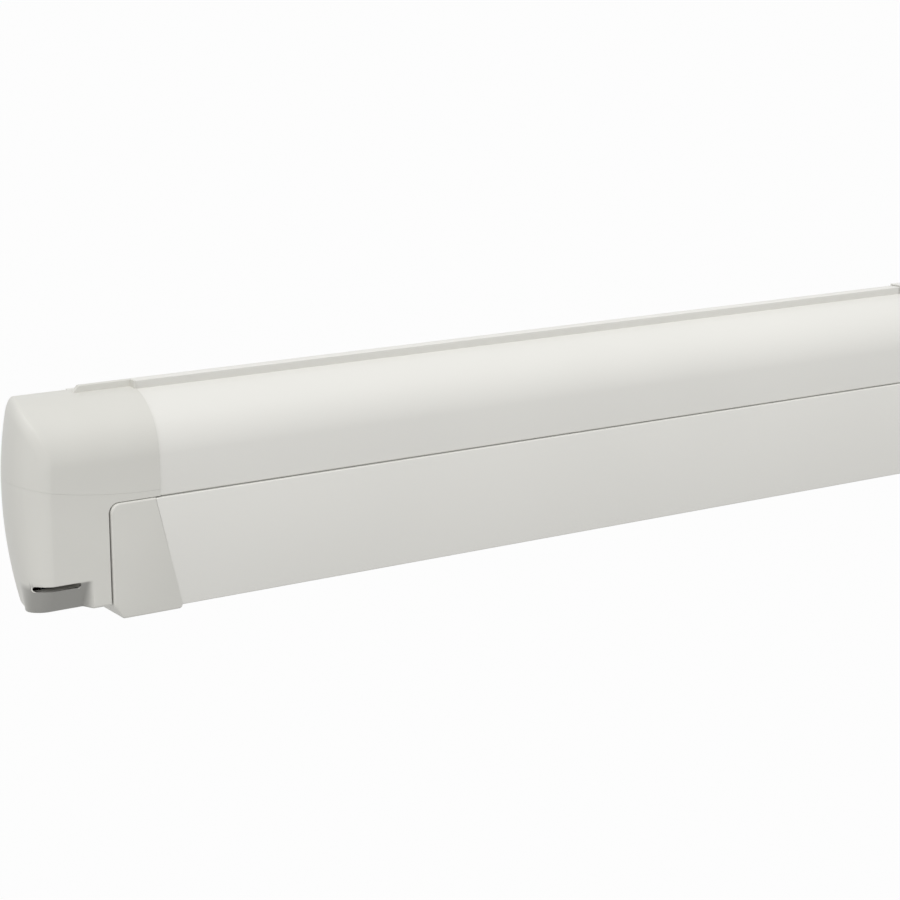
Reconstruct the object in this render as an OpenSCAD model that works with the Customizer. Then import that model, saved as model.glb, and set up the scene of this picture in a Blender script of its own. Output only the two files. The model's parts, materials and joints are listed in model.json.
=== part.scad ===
// Roll out awning for a camper side wall, shown closed.
// X runs along the length, Y towards the wall, Z up. The wall plane is Y = 0 and
// Z = 0 lies a little above the seam between the housing and the lead rail.
// The modules below count depth from the housing's front face; place() moves them to the wall.

/* [Housing] */
// Length over both end caps
total_length = 2995; // [2900:5:3400]
// Length of one end cap
cap_length = 123.5; // [121:0.5:127]
// Depth from the front face to the wall
wall_y = 130; // [128:0.5:136]
// Height of the flat top
top_z = 79.5; // [79:0.5:86]
// Radius of the round top front edge
crown_r = 50; // [44:1:52]
// Depth of the flat top's rear edge, where the roof starts to fall
roof_y = 70; // [68:1:76]
// Height that the roof falls towards the wall
roof_fall = 15; // [12:1:18]
// Wall thickness of the extruded housing
wall = 2.4; // [1.8:0.1:2.8]
// Depth of the tray's underside behind the lead rail
tray_z = 92; // [90:0.5:96]
// Depth at which the tray starts
tray_y = 64; // [61:1:68]
// Depth of the seam between housing and lead rail
seam_low = 4.6; // [3:0.2:6]
// Half of the open seam
seam_half = 0.6; // [0.4:0.1:1.0]
// Height of the raised ridge along the top
ridge_h = 6.5; // [5:0.1:8]
// Depth of the ridge's front edge
ridge_y = 39; // [39:0.5:42]
// Width of the ridge
ridge_w = 12; // [10:0.5:18]

/* [End caps] */
// How far a cap stands proud of the housing
cap_proud = 0.8; // [0.4:0.1:1.2]
// Wall thickness of the moulded caps
cap_wall = 2.6; // [2:0.1:3]
// Radius of the edge round the cap's end face
cap_edge_r = 18; // [14:1:22]
// Slant of the cap's end face towards the wall, as a share of its depth
cap_lean = 0.35; // [0.25:0.01:0.4]
// Swell of the cap's end face
cap_dome = 12; // [8:0.5:14]
// Depth of the cap's underside
cap_low_z = 90.5; // [88:0.5:92]
// Height of the parting line at the housing
parting_z = 1.5; // [1:0.5:4]
// Radius of the parting line's rise towards the end
parting_r = 480; // [400:10:700]
// Depth of the crank scoop's top edge
scoop_z = 66; // [62:1:70]
// Depth of the scoop at the cap's underside
scoop_d = 12; // [9:0.5:13]
// Length of the ridge that runs on over the cap
cap_ridge_l = 55; // [40:1:60]
// Height of the crank slot
slot_h = 5; // [4.5:0.5:6]
// Width of the crank slot
slot_w = 38; // [34:1:40]

/* [Wall brackets] */
// Width of a wall bracket
bracket_w = 140; // [100:5:180]
// Distance from the centre to an inner wall bracket
inner_bracket_x = 438; // [300:1:500]
// Height between the two bolts of a bracket
bolt_pitch = 60; // [40:1:70]
// Radius of a wall bolt hole
bolt_r = 4.25; // [3.25:0.25:5.25]
// Thickness of the bracket plate
bracket_t = 4; // [3:0.5:4]

/* [Roller] */
// Radius of the roller tube
roller_r = 31.5; // [29:0.5:33]
// Wall thickness of the roller tube
roller_wall = 2; // [1.5:0.1:3]
// Radius of the wound fabric
roll_r = 37; // [35:0.5:37]
// Depth of the roller's axis
roller_y = 47; // [46:0.5:49]
// Height of the roller's axis
roller_z = 35; // [35:0.5:38]
// Radius of the roller's axle
axle_r = 7; // [6:0.5:8]
// Thickness of the fabric's stand-in strip
fabric_t = 0.8; // [0.6:0.1:1]

/* [Gear] */
// Teeth of the worm wheel
wheel_teeth = 12; // [12:1:12]
// Module of the worm wheel
gear_module = 3; // [3:0.1:3]
// Pitch radius of the worm
worm_pitch_r = 7; // [7:0.1:7]
// Width of the worm wheel
wheel_w = 9; // [7:0.5:10]
// Radius of the crank shaft
shaft_r = 4; // [3.5:0.1:4]
// Distance of the crank shaft from the cap's inner end
crank_x = 89; // [88:1:90]
// Radius of the crank eye
eye_r = 9; // [8:0.5:9.5]
// Radius of the eye's wire
eye_wire_r = 2.5; // [2:0.25:2.75]

/* [Arms] */
// Distance from the housing's end to a shoulder pivot
shoulder_gap = 39; // [37:1:50]
// Distance between the two elbows' pivots
elbow_gap = 190; // [160:5:300]
// Depth of the shoulder pivot
shoulder_y = 102; // [101:0.5:103]
// Drop of the shoulder pivot
shoulder_low = 36; // [34:0.5:37]
// Distance between the folded arms
arm_pitch = 52; // [50:0.5:54]
// Angle at which the arms' plane falls towards the front
pitch = 5; // [4:0.5:6]
// Width of an arm tube
arm_w = 34; // [30:1:34]
// Height of an arm tube
arm_h = 36; // [32:1:36]
// Wall thickness of an arm tube
arm_wall = 2.5; // [2:0.1:3]
// Radius of the arm pivot pins
pin_r = 6; // [5:0.5:7]
// Radius of the arm knuckles
knuckle_r = 15; // [13:0.5:15]
// Half thickness of a knuckle's tongue
tongue_h = 8; // [6:0.5:8]

/* [Lead rail] */
// Reach of the lead rail's front over the housing's front
rail_front = 2; // [1:0.5:3]
// Depth of the lead rail's lower edge
rail_h = 100; // [99:0.5:104]
// How far the lead rail's caps reach over the housing's end
rail_over = 45.5; // [44:0.5:48]
// Wall thickness of the lead rail
rail_wall = 2.4; // [2:0.1:2.6]
// Depth of the rail's inner wall
rail_inner_y = 14; // [13:0.5:15]
// Depth of the leg channel's roof
leg_roof = 67; // [66.5:0.25:68]
// Depth of the leg channel
channel_y = 53.5; // [53:0.25:55]
// Depth of the keder groove's axis
keder_y = 10; // [9.5:0.25:10.5]
// Drop of the keder groove's axis under the seam
keder_low = 7; // [7:0.25:7.5]
// Radius of the keder cord
keder_r = 3.4; // [3:0.1:3.6]
// Width that the rail cap's joint slants over the rail's height
joint_slant = 25; // [18:1:28]

/* [Legs] */
// Width of a leg tube
leg_w = 20; // [18:0.5:20]
// Wall thickness of a leg tube
leg_wall = 1.5; // [1.2:0.1:1.8]
// Depth of the front leg's row
front_row = 14; // [14:0.25:14.5]
// Depth of the rear leg's row
rear_row = 38; // [38:0.25:38.5]
// Drop of the legs' axis
leg_low = 80; // [80:0.5:81]
// Distance from the housing's end to a leg pivot
leg_pivot_in = 24; // [20:1:30]
// Distance from the centre to a stowed foot
foot_x = 96; // [90:1:140]
// Radius of the leg pivot pin
leg_pin_r = 4; // [3:0.25:4.5]

/* [Clearances] */
// Gap between pieces that pass each other
gap = 0.4; // [0.3:0.05:0.5]
// Radial clearance of a pivot pin
pin_fit = 0.05; // [0.02:0.01:0.09]
// Radial clearance of the opened wrist pivot
open_fit = 0.4; // [0.3:0.05:0.6]
// Clearance of a piece seated in another
seat = 0.1; // [0.05:0.01:0.15]

/* [Hidden] */
$fn = 64;
eps = 0.5;
half_x = total_length / 2;
body_x = half_x - cap_length;
back_y = wall_y - bracket_t - 1;
roof_back_z = top_z - roof_fall;
inner_back = back_y - wall;
tray_top = -tray_z + wall;
plate_t = 6;
plate_edge = cap_wall - cap_proud + 0.4;
plate_low_y = 70;
cap_back = back_y - 1;
cap_roof_y = roof_y - 8;
ridge_end = ridge_y + ridge_w;
ridge_top = top_z + ridge_h;
cap_mid_y = 40;
top_in = 6;
low_in = 4;
back_in = 8;
plate_back = cap_back - cap_wall - gap;
shoulder_x = body_x - shoulder_gap;
shoulder_z = -shoulder_low;
half_elbow = elbow_gap / 2;
arm_run = shoulder_x - half_elbow;
arm_end = 34;
arm_block = 22;
elbow_x = arm_run - arm_end + knuckle_r - 2 + gap;
ear_t = 8;
plug_out = 12;
plug_in = 26;
spring_room = 0.3;
spring_r = min(arm_w, arm_h) / 2 - arm_wall - spring_room;
spring_t = 4;
spring_x = arm_end + 60;
spring_l = 500;
ear_in = tongue_h + gap;
ear_out = ear_in + ear_t;
wrist_y = shoulder_y - arm_pitch * cos(pitch);
wrist_z = shoulder_z - arm_pitch * sin(pitch);
rail_x = body_x + rail_over;
rail_low = -rail_h;
seam_z = -seam_low;
rail_top = seam_z - seam_half;
lip_z = seam_z + seam_half;
roof_z = -leg_roof;
inner_wall_back = rail_inner_y + rail_wall;
joint_top = body_x + 7;
joint_low = joint_top - joint_slant;
keder_z = seam_z - keder_low;
groove_r = keder_r + 0.3;
groove_out = groove_r + 1.9;
mouth = 1.3;
leg_x = body_x - leg_pivot_in;
leg_z = -leg_low;
leg_half = leg_w / 2;
leg_in = leg_half - leg_wall - 0.2;
collar_x = foot_x + 56;
knuckle_l = 14;
lever_x = collar_x + 12;
lever_l = 50;
lever_drop = 3;
lug_t = 3.2;
foot_pin = foot_x + 26;
foot_half = 7;
foot_pin_r = 2.5;
lever_pin_r = 1.5;
leg_bore = leg_in + 0.3;
wheel_r = gear_module * wheel_teeth / 2;
worm_y = roller_y - wheel_r - worm_pitch_r;
gear_x = body_x + crank_x;
worm_lead = PI * gear_module;
worm_len = 25;
worm_phase = 156;
case_end = 6;
worm_tip = worm_pitch_r + 2.2;
worm_root = worm_pitch_r - 2.9;
worm_angle = atan(worm_lead / (2 * PI * worm_pitch_r));
case_t = 2.5;
case_half = worm_tip + 0.6 + case_t;
case_low = roller_z - worm_len / 2 - case_end;
case_high = roller_z + worm_len / 2 + case_end;
case_in = gear_x - case_half;
case_out = gear_x + case_half;
wheel_bore = wheel_r + 3.2;
eye_z = -cap_low_z + cap_wall + eye_r + eye_wire_r + 3;
shaft_low = eye_z + eye_r;
roller_end = body_x - 4;
plug_l = 24;
fabric_x = roller_end - 30;
side_wall_x = body_x + rail_over + 1.5;
pocket_y = 66;
slot_mid = body_x + crank_x;
screw_r = 2.5;
head_r = 4.5;
head_h = 3;
pin_head = 2;
press = 0.01;
lock_y = back_y - 10;
cap_screw_x = body_x + 24;
cap_screw_z = 40;
cap_screw_l = 12;
base_t = 4;
base_half = 20;
wrist_half = 18;
base_rise = 26;
bolt_lift = 22;
bracket_over = 23;
hook_rise = 3;
hook_gap = 0.4;
hook_t = 1.2;
hook_lip = 5;
roof_gap = 0.6;
plain_rise = 1.4;
foot_l = 20;
bracket_low = tray_z + 6;
outer_bracket_x = body_x + bracket_over - bracket_w / 2;

// Moves the pieces from the front face's frame to the wall's frame.
module place() {
  translate([0, -wall_y, 0]) children();
}

// Draws a section, given as depth and height, along the length from one place to another.
module along(from, to) {
  translate([from, 0, 0]) rotate([90, 0, 90]) linear_extrude(height = to - from) children();
}

// A box given by its two opposite corners.
module box(low, high) {
  translate(low) cube(high - low);
}

// An upright round bar between two heights.
module post(x, y, low, high, r) {
  translate([x, y, low]) cylinder(r = r, h = high - low);
}

// A round bar along the length.
module bar(from, to, y, z, r) {
  translate([from, y, z]) rotate([0, 90, 0]) cylinder(r = r, h = to - from);
}

// A round bar along the depth.
module cross_bar(x, from, to, z, r) {
  translate([x, from, z]) rotate([-90, 0, 0]) cylinder(r = r, h = to - from);
}

// The two sides are the same piece, one mirrored.
module both_sides() {
  children();
  mirror([1, 0, 0]) children();
}

module right_side() {
  mirror([1, 0, 0]) children();
}

// Round top front corner of a section: the quarter of a disc before and above the crown's axis.
module crown_quarter(r) {
  translate([crown_r, top_z - crown_r]) intersection() {
    circle(r = r);
    translate([-r, -eps]) square(r + eps);
  }
}

// Housing section: upright front, round crown, raised ridge, falling roof and rear wall.
module housing_outline(inset) {
  difference() {
    union() {
      translate([inset, lip_z]) square([back_y - 2 * inset, top_z - crown_r - lip_z]);
      translate([crown_r, lip_z]) square([back_y - inset - crown_r, top_z - inset - lip_z]);
      crown_quarter(crown_r - inset);
    }
    polygon([[roof_y, top_z - inset], [back_y + 1, roof_back_z - inset - roof_fall / (back_y - roof_y)],
      [back_y + 1, top_z + 1], [roof_y, top_z + 1]]);
  }
}

module housing_section() {
  difference() {
    union() {
      housing_outline(0);
      translate([ridge_y, top_z - wall]) square([ridge_w, ridge_h + wall]);
    }
    housing_outline(wall);
    translate([ridge_y + wall, top_z - 2 * wall]) square([ridge_w - 2 * wall, ridge_h + wall]);
    translate([wall, lip_z - 1]) square([inner_back - wall, 2]);
  }
  translate([inner_back, -tray_z]) square([wall, tray_z + lip_z + 1]);
  translate([tray_y, -tray_z]) square([back_y - tray_y, wall]);
  translate([tray_y, -tray_z]) square([wall, 3 * wall]);
}

module housing_profile() {
  color("gainsboro") place() difference() {
    along(-body_x, body_x) housing_section();
    both_sides() for (lift = [-1, 1]) shoulder_bolt(lift, seat);
    both_sides() for (spot = lock_spots()) post(spot, lock_y, -tray_z - 1, tray_top + 1, screw_r + seat);
  }
}

// Rubber lip behind the housing's lower front edge.
module front_seal() {
  color("dimgray") place() along(-body_x + 2, body_x - 2) {
    translate([wall, lip_z + gap]) square([3, 4]);
  }
}

// End plates close the housing and carry the roller's bearings.
module end_plate_outline() {
  difference() {
    union() {
      translate([plate_edge + 1, parting_z + 2])
        square([plate_back - plate_edge - 1, top_z - crown_r - parting_z]);
      translate([crown_r, parting_z + 2])
        square([plate_back - crown_r, top_z - plate_edge - parting_z - 2]);
      crown_quarter(crown_r - plate_edge - 1);
      translate([plate_low_y, -cap_low_z + cap_wall + 6])
        square([plate_back - plate_low_y, cap_low_z + parting_z - 2]);
    }
    polygon([[cap_roof_y - 4, top_z - plate_edge - 1], [back_y + 1, roof_back_z - plate_edge - 8],
      [back_y + 1, top_z + 1], [cap_roof_y - 4, top_z + 1]]);
  }
}

module end_plate() {
  difference() {
    along(-body_x - plate_t, -body_x) end_plate_outline();
    bar(-body_x - plate_t - 1, -body_x + 1, roller_y, roller_z, axle_r + 3);
    for (spot = plate_screw_spots())
      bar(-body_x - plate_t - 1, -body_x + 1, spot[0], spot[1], screw_r + seat);
  }
}

module left_end_plate() {
  color("silver") place() end_plate();
}

module right_end_plate() {
  color("silver") place() right_side() end_plate();
}

function plate_screw_spots() =
  [[roof_y + 9, top_z - 22], [inner_back - 10, -20], [inner_back - 10, -70], [14, 20]];

// Screws that hold the end plates to the housing's ends.
module end_plate_screws() {
  color("gray") place() both_sides() for (spot = plate_screw_spots()) {
    bar(-body_x - plate_t, -body_x - 0.2, spot[0], spot[1], screw_r);
    bar(-body_x - plate_t - head_h, -body_x - plate_t, spot[0], spot[1], head_r);
  }
}

// Points along an arc of a section.
function arc_points(y, z, r, from, to, steps) =
  [for (i = [0:steps]) let(turn = from + (to - from) * i / steps) [y + r * cos(turn), z + r * sin(turn)]];

// Slants a slice inwards as it goes back.
module leaned(lean) {
  multmatrix([[1, lean, 0, 0], [0, 1, 0, 0], [0, 0, 1, 0], [0, 0, 0, 1]]) children();
}

// One slice of the cap's round body: convex, with a round crown and soft corners.
module cap_slice(x, lean, front, top, low, back, r) {
  outline = concat(
    arc_points(front + r, top - r, r, 180, 90, 7),
    [[cap_roof_y, top], [back - 4, top - roof_fall], [back, top - roof_fall - 6]],
    arc_points(back - 6, low + 6, 6, 0, -90, 3),
    arc_points(front + 4, low + 4, 4, 270, 180, 3));
  leaned(lean) along(-x - 0.01, -x) polygon(outline);
}

// One ring of the cap's swelling end face: the last slice, drawn in to the middle.
module cap_ring(x, share, front, top, low, back, r) {
  translate([-x - cap_dome * (1 - share * share), 0, 0]) leaned(cap_lean)
    translate([0, cap_mid_y * (1 - share), 0]) scale([1, share, share])
      cap_slice(0, 0, front, top, low, back, r);
}

// Solid of a cap; inset moves every side inwards.
module cap_body(inset) {
  steps = 6;
  last = 85;
  straight = half_x - cap_edge_r + 0.5 - inset;
  proud = cap_proud - inset;
  front = -proud + 0.85 * cap_edge_r;
  back = cap_back - inset;
  low = -cap_low_z + inset;
  top = top_z + proud;
  crown = crown_r - inset;
  hull() {
    cap_slice(body_x - (inset > 0 ? eps : 0), 0, -proud, top, low, back, crown);
    for (i = [0:steps]) {
      turn = last * i / steps;
      out = straight + cap_edge_r * sin(turn) / sin(last);
      cut = (1 - cos(turn)) / (1 - cos(last));
      cap_slice(out, cap_lean, -proud + 0.85 * cap_edge_r * cut, top - top_in * cut, low + low_in * cut,
        back - back_in * cut, crown - back_in * cut);
    }
    for (share = [0.8, 0.5, 0.2])
      cap_ring(straight + cap_edge_r, share, front, top - top_in, low + low_in, back - back_in,
        crown - back_in);
  }
}

// Half space above the curved parting line.
module over_parting(lift) {
  translate([-body_x, -50, parting_z + parting_r + lift]) rotate([-90, 0, 0])
    cylinder(r = parting_r, h = 300, $fn = 180);
}

module cap_upper() {
  difference() {
    union() {
      intersection() {
        cap_body(0);
        over_parting(0.15);
      }
      box([-body_x - cap_ridge_l, ridge_y, top_z - cap_wall], [-body_x, ridge_end, ridge_top]);
    }
    cap_body(cap_wall);
    cap_screw(1, seat);
  }
}

// Front of the scoop: everything before its slanted wall.
module scoop_wedge(back) {
  z_low = -cap_low_z - 2;
  run = scoop_d * (cap_low_z + 2 - scoop_z) / (cap_low_z - scoop_z);
  along(-slot_mid - slot_w / 2 - 8, -slot_mid + slot_w / 2 + 6)
    polygon([[-5, -scoop_z + back], [back, -scoop_z + back], [run + back, z_low], [-5, z_low]]);
}

module cap_lower_shell(slot) {
  difference() {
    union() {
      difference() {
        cap_body(0);
        cap_body(cap_wall);
      }
      intersection() {
        cap_body(0);
        union() {
          scoop_wedge(cap_wall);
          box([-side_wall_x - cap_wall, -5, -cap_low_z], [-side_wall_x, pocket_y + cap_wall, parting_z]);
          box([-side_wall_x, pocket_y, -cap_low_z], [-body_x, pocket_y + cap_wall, parting_z - 1]);
        }
      }
    }
    over_parting(-0.15);
    scoop_wedge(0);
    box([-side_wall_x, -5, -cap_low_z - 1], [-body_x + 1, pocket_y, lip_z]);
    if (slot)
      box([-slot_mid - slot_w / 2, -1, -scoop_z - slot_h], [-slot_mid + slot_w / 2, 2 * scoop_d, -scoop_z]);
    cap_screw(-1, seat);
  }
}

module left_cap_upper() {
  color("gainsboro") place() cap_upper();
}

module right_cap_upper() {
  color("gainsboro") place() right_side() cap_upper();
}

module left_cap_lower() {
  color("gainsboro") place() cap_lower_shell(true);
}

module right_cap_lower() {
  color("gainsboro") place() right_side() cap_lower_shell(false);
}

// Screws through the caps' rear sides into the end plates' edge blocks.
module cap_screw(side, grow) {
  cross_bar(-cap_screw_x, back_y - cap_screw_l, back_y + gap, side * cap_screw_z, screw_r + grow);
}

module cap_screws() {
  color("gray") place() both_sides() for (side = [-1, 1]) {
    cap_screw(side, 0);
  }
}

// Wall brackets hold the housing at its rear: the inner ones also hook over the roof.
module bracket_section(hooked) {
  front = wall_y - bracket_t;
  rise = roof_fall / (back_y - roof_y);
  foot_top = -tray_z - 1;
  high = roof_back_z + (hooked ? hook_rise : plain_rise);
  lip = ridge_y - hook_gap;
  heel = ridge_end + hook_gap;
  lip_low = ridge_top - hook_lip;
  strap_low = top_z + roof_gap;
  strap_top = ridge_top + hook_gap;
  translate([front, -bracket_low]) square([bracket_t, bracket_low + high]);
  translate([front - foot_l, -bracket_low]) square([foot_l + eps, bracket_low + foot_top]);
  if (hooked) polygon([[front + eps, high + 1], [front + eps, high - 1 - rise], [roof_y, strap_low],
    [heel, strap_low], [heel, strap_top], [lip, strap_top], [lip, lip_low], [lip - hook_t, lip_low],
    [lip - hook_t, strap_top + hook_t], [heel + hook_t, strap_top + hook_t],
    [heel + hook_t, strap_low + hook_t], [roof_y, strap_low + hook_t]]);
}

module wall_bracket(x, hooked) {
  difference() {
    along(x - bracket_w / 2, x + bracket_w / 2) bracket_section(hooked);
    for (side = [-1, 1])
      cross_bar(x, wall_y - bracket_t - 1, wall_y + 1, side * bolt_pitch / 2, bolt_r);
    post(x, lock_y, -bracket_low - 1, -tray_z, screw_r + seat);
  }
}

module inner_wall_brackets() {
  color("silver") place() both_sides() wall_bracket(-inner_bracket_x, true);
}

module outer_wall_brackets() {
  color("silver") place() both_sides() wall_bracket(-outer_bracket_x, false);
}

function lock_spots() = [-inner_bracket_x, -outer_bracket_x];

// Screws that lock the housing's tray to the brackets' feet.
module bracket_lock_screws() {
  color("gray") place() both_sides() for (spot = lock_spots()) {
    post(spot, lock_y, -bracket_low, tray_top, screw_r);
    post(spot, lock_y, -bracket_low - head_h, -bracket_low, head_r);
  }
}

// Arms lie in a plane that falls towards the front; x counts from the left shoulder.
module arm_plane() {
  translate([-shoulder_x, shoulder_y, shoulder_z]) rotate([pitch, 0, 0]) children();
}

// A flat link with round ends, drawn between two heights.
module link(p, r, q, s, low, high) {
  run = q - p;
  side = [-run[1], run[0]] / norm(run);
  translate([p[0], p[1], low]) cylinder(r = r, h = high - low);
  translate([q[0], q[1], low]) cylinder(r = s, h = high - low);
  translate([0, 0, low]) linear_extrude(height = high - low)
    polygon([p + 0.97 * r * side, q + 0.97 * s * side, q - 0.97 * s * side, p - 0.97 * r * side]);
}

module arm_tube(x_from, x_to, y) {
  difference() {
    box([x_from, y - arm_w / 2, -arm_h / 2], [x_to, y + arm_w / 2, arm_h / 2]);
    box([x_from - 1, y - arm_w / 2 + arm_wall, -arm_h / 2 + arm_wall],
      [x_to + 1, y + arm_w / 2 - arm_wall, arm_h / 2 - arm_wall]);
  }
}

// Casting's block at a tube's end with the stub that sits in the tube.
module arm_plug(x_mouth, way, y) {
  stub = arm_wall + seat;
  far = x_mouth - way * plug_out;
  deep = x_mouth + way * plug_in;
  box([min(x_mouth, far), y - arm_w / 2, -arm_h / 2], [max(x_mouth, far), y + arm_w / 2, arm_h / 2]);
  box([min(x_mouth - way * eps, deep), y - arm_w / 2 + stub, -arm_h / 2 + stub],
    [max(x_mouth - way * eps, deep), y + arm_w / 2 - stub, arm_h / 2 - stub]);
}

module pivot_bore(x, y, fit) {
  post(x, y, -arm_h, arm_h, pin_r + fit);
}

// Pivot pin with a head at each end, just clear of the ears.
module headed_pin(x, y) {
  post(x, y, -ear_out - 1, ear_out + 1, pin_r);
  post(x, y, ear_out + seat, ear_out + pin_head, pin_r + pin_head);
  post(x, y, -ear_out - pin_head, -ear_out - seat, pin_r + pin_head);
}

module upper_tube() {
  arm_plane() arm_tube(arm_end, arm_run - arm_end, 0);
}

module fore_tube() {
  arm_plane() arm_tube(arm_end, arm_run - arm_end, -arm_pitch);
}

module shoulder_knuckle() {
  arm_plane() difference() {
    union() {
      arm_plug(arm_end, 1, 0);
      link([0, 0], knuckle_r, [arm_block + 2, 0], knuckle_r - 1, -tongue_h, tongue_h);
    }
    pivot_bore(0, 0, pin_fit);
  }
}

module elbow_fork() {
  arm_plane() difference() {
    union() {
      arm_plug(arm_run - arm_end, -1, 0);
      for (low = [-ear_out, ear_in])
        link([elbow_x, -4], knuckle_r - 2, [arm_run, -arm_pitch / 2], knuckle_r, low, low + ear_t);
    }
    pivot_bore(arm_run, -arm_pitch / 2, press);
  }
}

module elbow_pin() {
  arm_plane() headed_pin(arm_run, -arm_pitch / 2);
}

module elbow_tongue() {
  arm_plane() difference() {
    union() {
      arm_plug(arm_run - arm_end, -1, -arm_pitch);
      link([elbow_x, -arm_pitch + 4], knuckle_r - 2, [arm_run, -arm_pitch / 2], knuckle_r,
        -tongue_h, tongue_h);
    }
    pivot_bore(arm_run, -arm_pitch / 2, pin_fit);
  }
}

module wrist_tongue(fit) {
  arm_plane() difference() {
    union() {
      arm_plug(arm_end, 1, -arm_pitch);
      link([0, -arm_pitch], knuckle_r, [arm_block + 2, -arm_pitch], knuckle_r - 1, -tongue_h, tongue_h);
    }
    pivot_bore(0, -arm_pitch, fit);
  }
}

// Spring pack that pushes the arm open, kept inside the upper tube.
module arm_spring() {
  arm_plane() difference() {
    bar(spring_x, spring_x + spring_l, 0, 0, spring_r);
    bar(spring_x - 1, spring_x + spring_l + 1, 0, 0, spring_r - spring_t);
  }
}

module left_upper_tube() {
  color("whitesmoke") place() upper_tube();
}

module left_shoulder_knuckle() {
  color("lightgray") place() shoulder_knuckle();
}

module left_elbow_fork() {
  color("lightgray") place() elbow_fork();
}

module left_elbow_pin() {
  color("silver") place() elbow_pin();
}

module left_arm_spring() {
  color("gray") place() arm_spring();
}

module left_fore_tube() {
  color("whitesmoke") place() fore_tube();
}

module left_elbow_tongue() {
  color("lightgray") place() elbow_tongue();
}

module left_wrist_tongue() {
  color("lightgray") place() wrist_tongue(pin_fit);
}

module right_upper_tube() {
  color("whitesmoke") place() right_side() upper_tube();
}

module right_shoulder_knuckle() {
  color("lightgray") place() right_side() shoulder_knuckle();
}

module right_elbow_fork() {
  color("lightgray") place() right_side() elbow_fork();
}

module right_elbow_pin() {
  color("silver") place() right_side() elbow_pin();
}

module right_arm_spring() {
  color("gray") place() right_side() arm_spring();
}

module right_fore_tube() {
  color("whitesmoke") place() right_side() fore_tube();
}

module right_elbow_tongue() {
  color("lightgray") place() right_side() elbow_tongue();
}

module right_wrist_tongue() {
  color("lightgray") place() right_side() wrist_tongue(open_fit);
}

// Shoulder bracket: a base on the rear wall with two ears around the upper arm's tongue.
module shoulder_bracket() {
  base = inner_back - base_t;
  difference() {
    union() {
      box([-shoulder_x - base_half, base, shoulder_z - base_rise],
        [-shoulder_x + base_half, inner_back, shoulder_z + base_rise]);
      arm_plane() for (low = [-ear_out, ear_in]) {
        post(0, 0, low, low + ear_t, knuckle_r);
        box([-knuckle_r + 0.5, 0, low], [knuckle_r - 0.5, inner_back - shoulder_y - 2, low + ear_t]);
      }
    }
    arm_plane() pivot_bore(0, 0, press);
    for (lift = [-1, 1]) shoulder_bolt(lift, seat);
  }
}

module shoulder_brackets() {
  color("lightgray") place() both_sides() shoulder_bracket();
}

module shoulder_bolt(lift, grow) {
  z = shoulder_z + lift * bolt_lift;
  cross_bar(-shoulder_x, inner_back - base_t - 0.2, back_y + 0.2, z, screw_r + grow);
}

// Bolts through the rear wall that hold the shoulder brackets.
module shoulder_bolts() {
  color("gray") place() both_sides() for (lift = [-1, 1]) shoulder_bolt(lift, 0);
}

module shoulder_pins() {
  color("silver") place() both_sides() arm_plane() headed_pin(0, 0);
}

// Wrist bracket: a base on the rail's inner wall with two ears around the forearm's tongue.
module wrist_bracket() {
  difference() {
    union() {
      box([-shoulder_x - wrist_half, inner_wall_back, wrist_z - wrist_half],
        [-shoulder_x + wrist_half, inner_wall_back + base_t, wrist_z + wrist_half + 4]);
      arm_plane() for (low = [-ear_out, ear_in]) {
        post(0, -arm_pitch, low, low + ear_t, knuckle_r);
        box([-knuckle_r + 0.5, -arm_pitch - (wrist_y - inner_wall_back) + 2.2, low],
          [knuckle_r - 0.5, -arm_pitch, low + ear_t]);
      }
    }
    arm_plane() pivot_bore(0, -arm_pitch, press);
  }
}

module wrist_brackets() {
  color("lightgray") place() both_sides() wrist_bracket();
}

module wrist_pins() {
  color("silver") place() both_sides() arm_plane() headed_pin(0, -arm_pitch);
}

// Lead rail section: flat front, box with the keder groove, and a channel for the legs.
module lead_section() {
  difference() {
    union() {
      translate([-rail_front, rail_low]) square([rail_wall, rail_top - rail_low]);
      translate([-rail_front, rail_top - rail_wall]) square([rail_inner_y - 1 + rail_front, rail_wall]);
      translate([rail_inner_y, roof_z]) square([rail_wall, keder_z - roof_z - 3]);
      translate([-rail_front, roof_z]) square([channel_y + rail_front, rail_wall]);
      translate([channel_y - rail_wall, roof_z - 7]) square([rail_wall, 7 + eps]);
      translate([-rail_front, rail_low]) square([5, rail_wall]);
      translate([keder_y, keder_z]) circle(r = groove_out);
    }
    translate([keder_y, keder_z]) circle(r = groove_r);
    translate([keder_y, keder_z - mouth]) square([groove_out + 8, 2 * mouth]);
  }
}

// The rail's ends are cut on the slant, where the rail caps start.
module rail_end_cut(grow) {
  translate([0, -20, 0]) rotate([-90, 0, 0]) linear_extrude(height = 120)
    polygon([[-joint_top - grow, -5], [-joint_low - grow, rail_h + 5],
      [-rail_x - 20, rail_h + 5], [-rail_x - 20, -5]]);
}

module lead_rail() {
  color("gainsboro") place() difference() {
    along(-rail_x, rail_x) lead_section();
    both_sides() rail_end_cut(0);
  }
}

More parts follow.
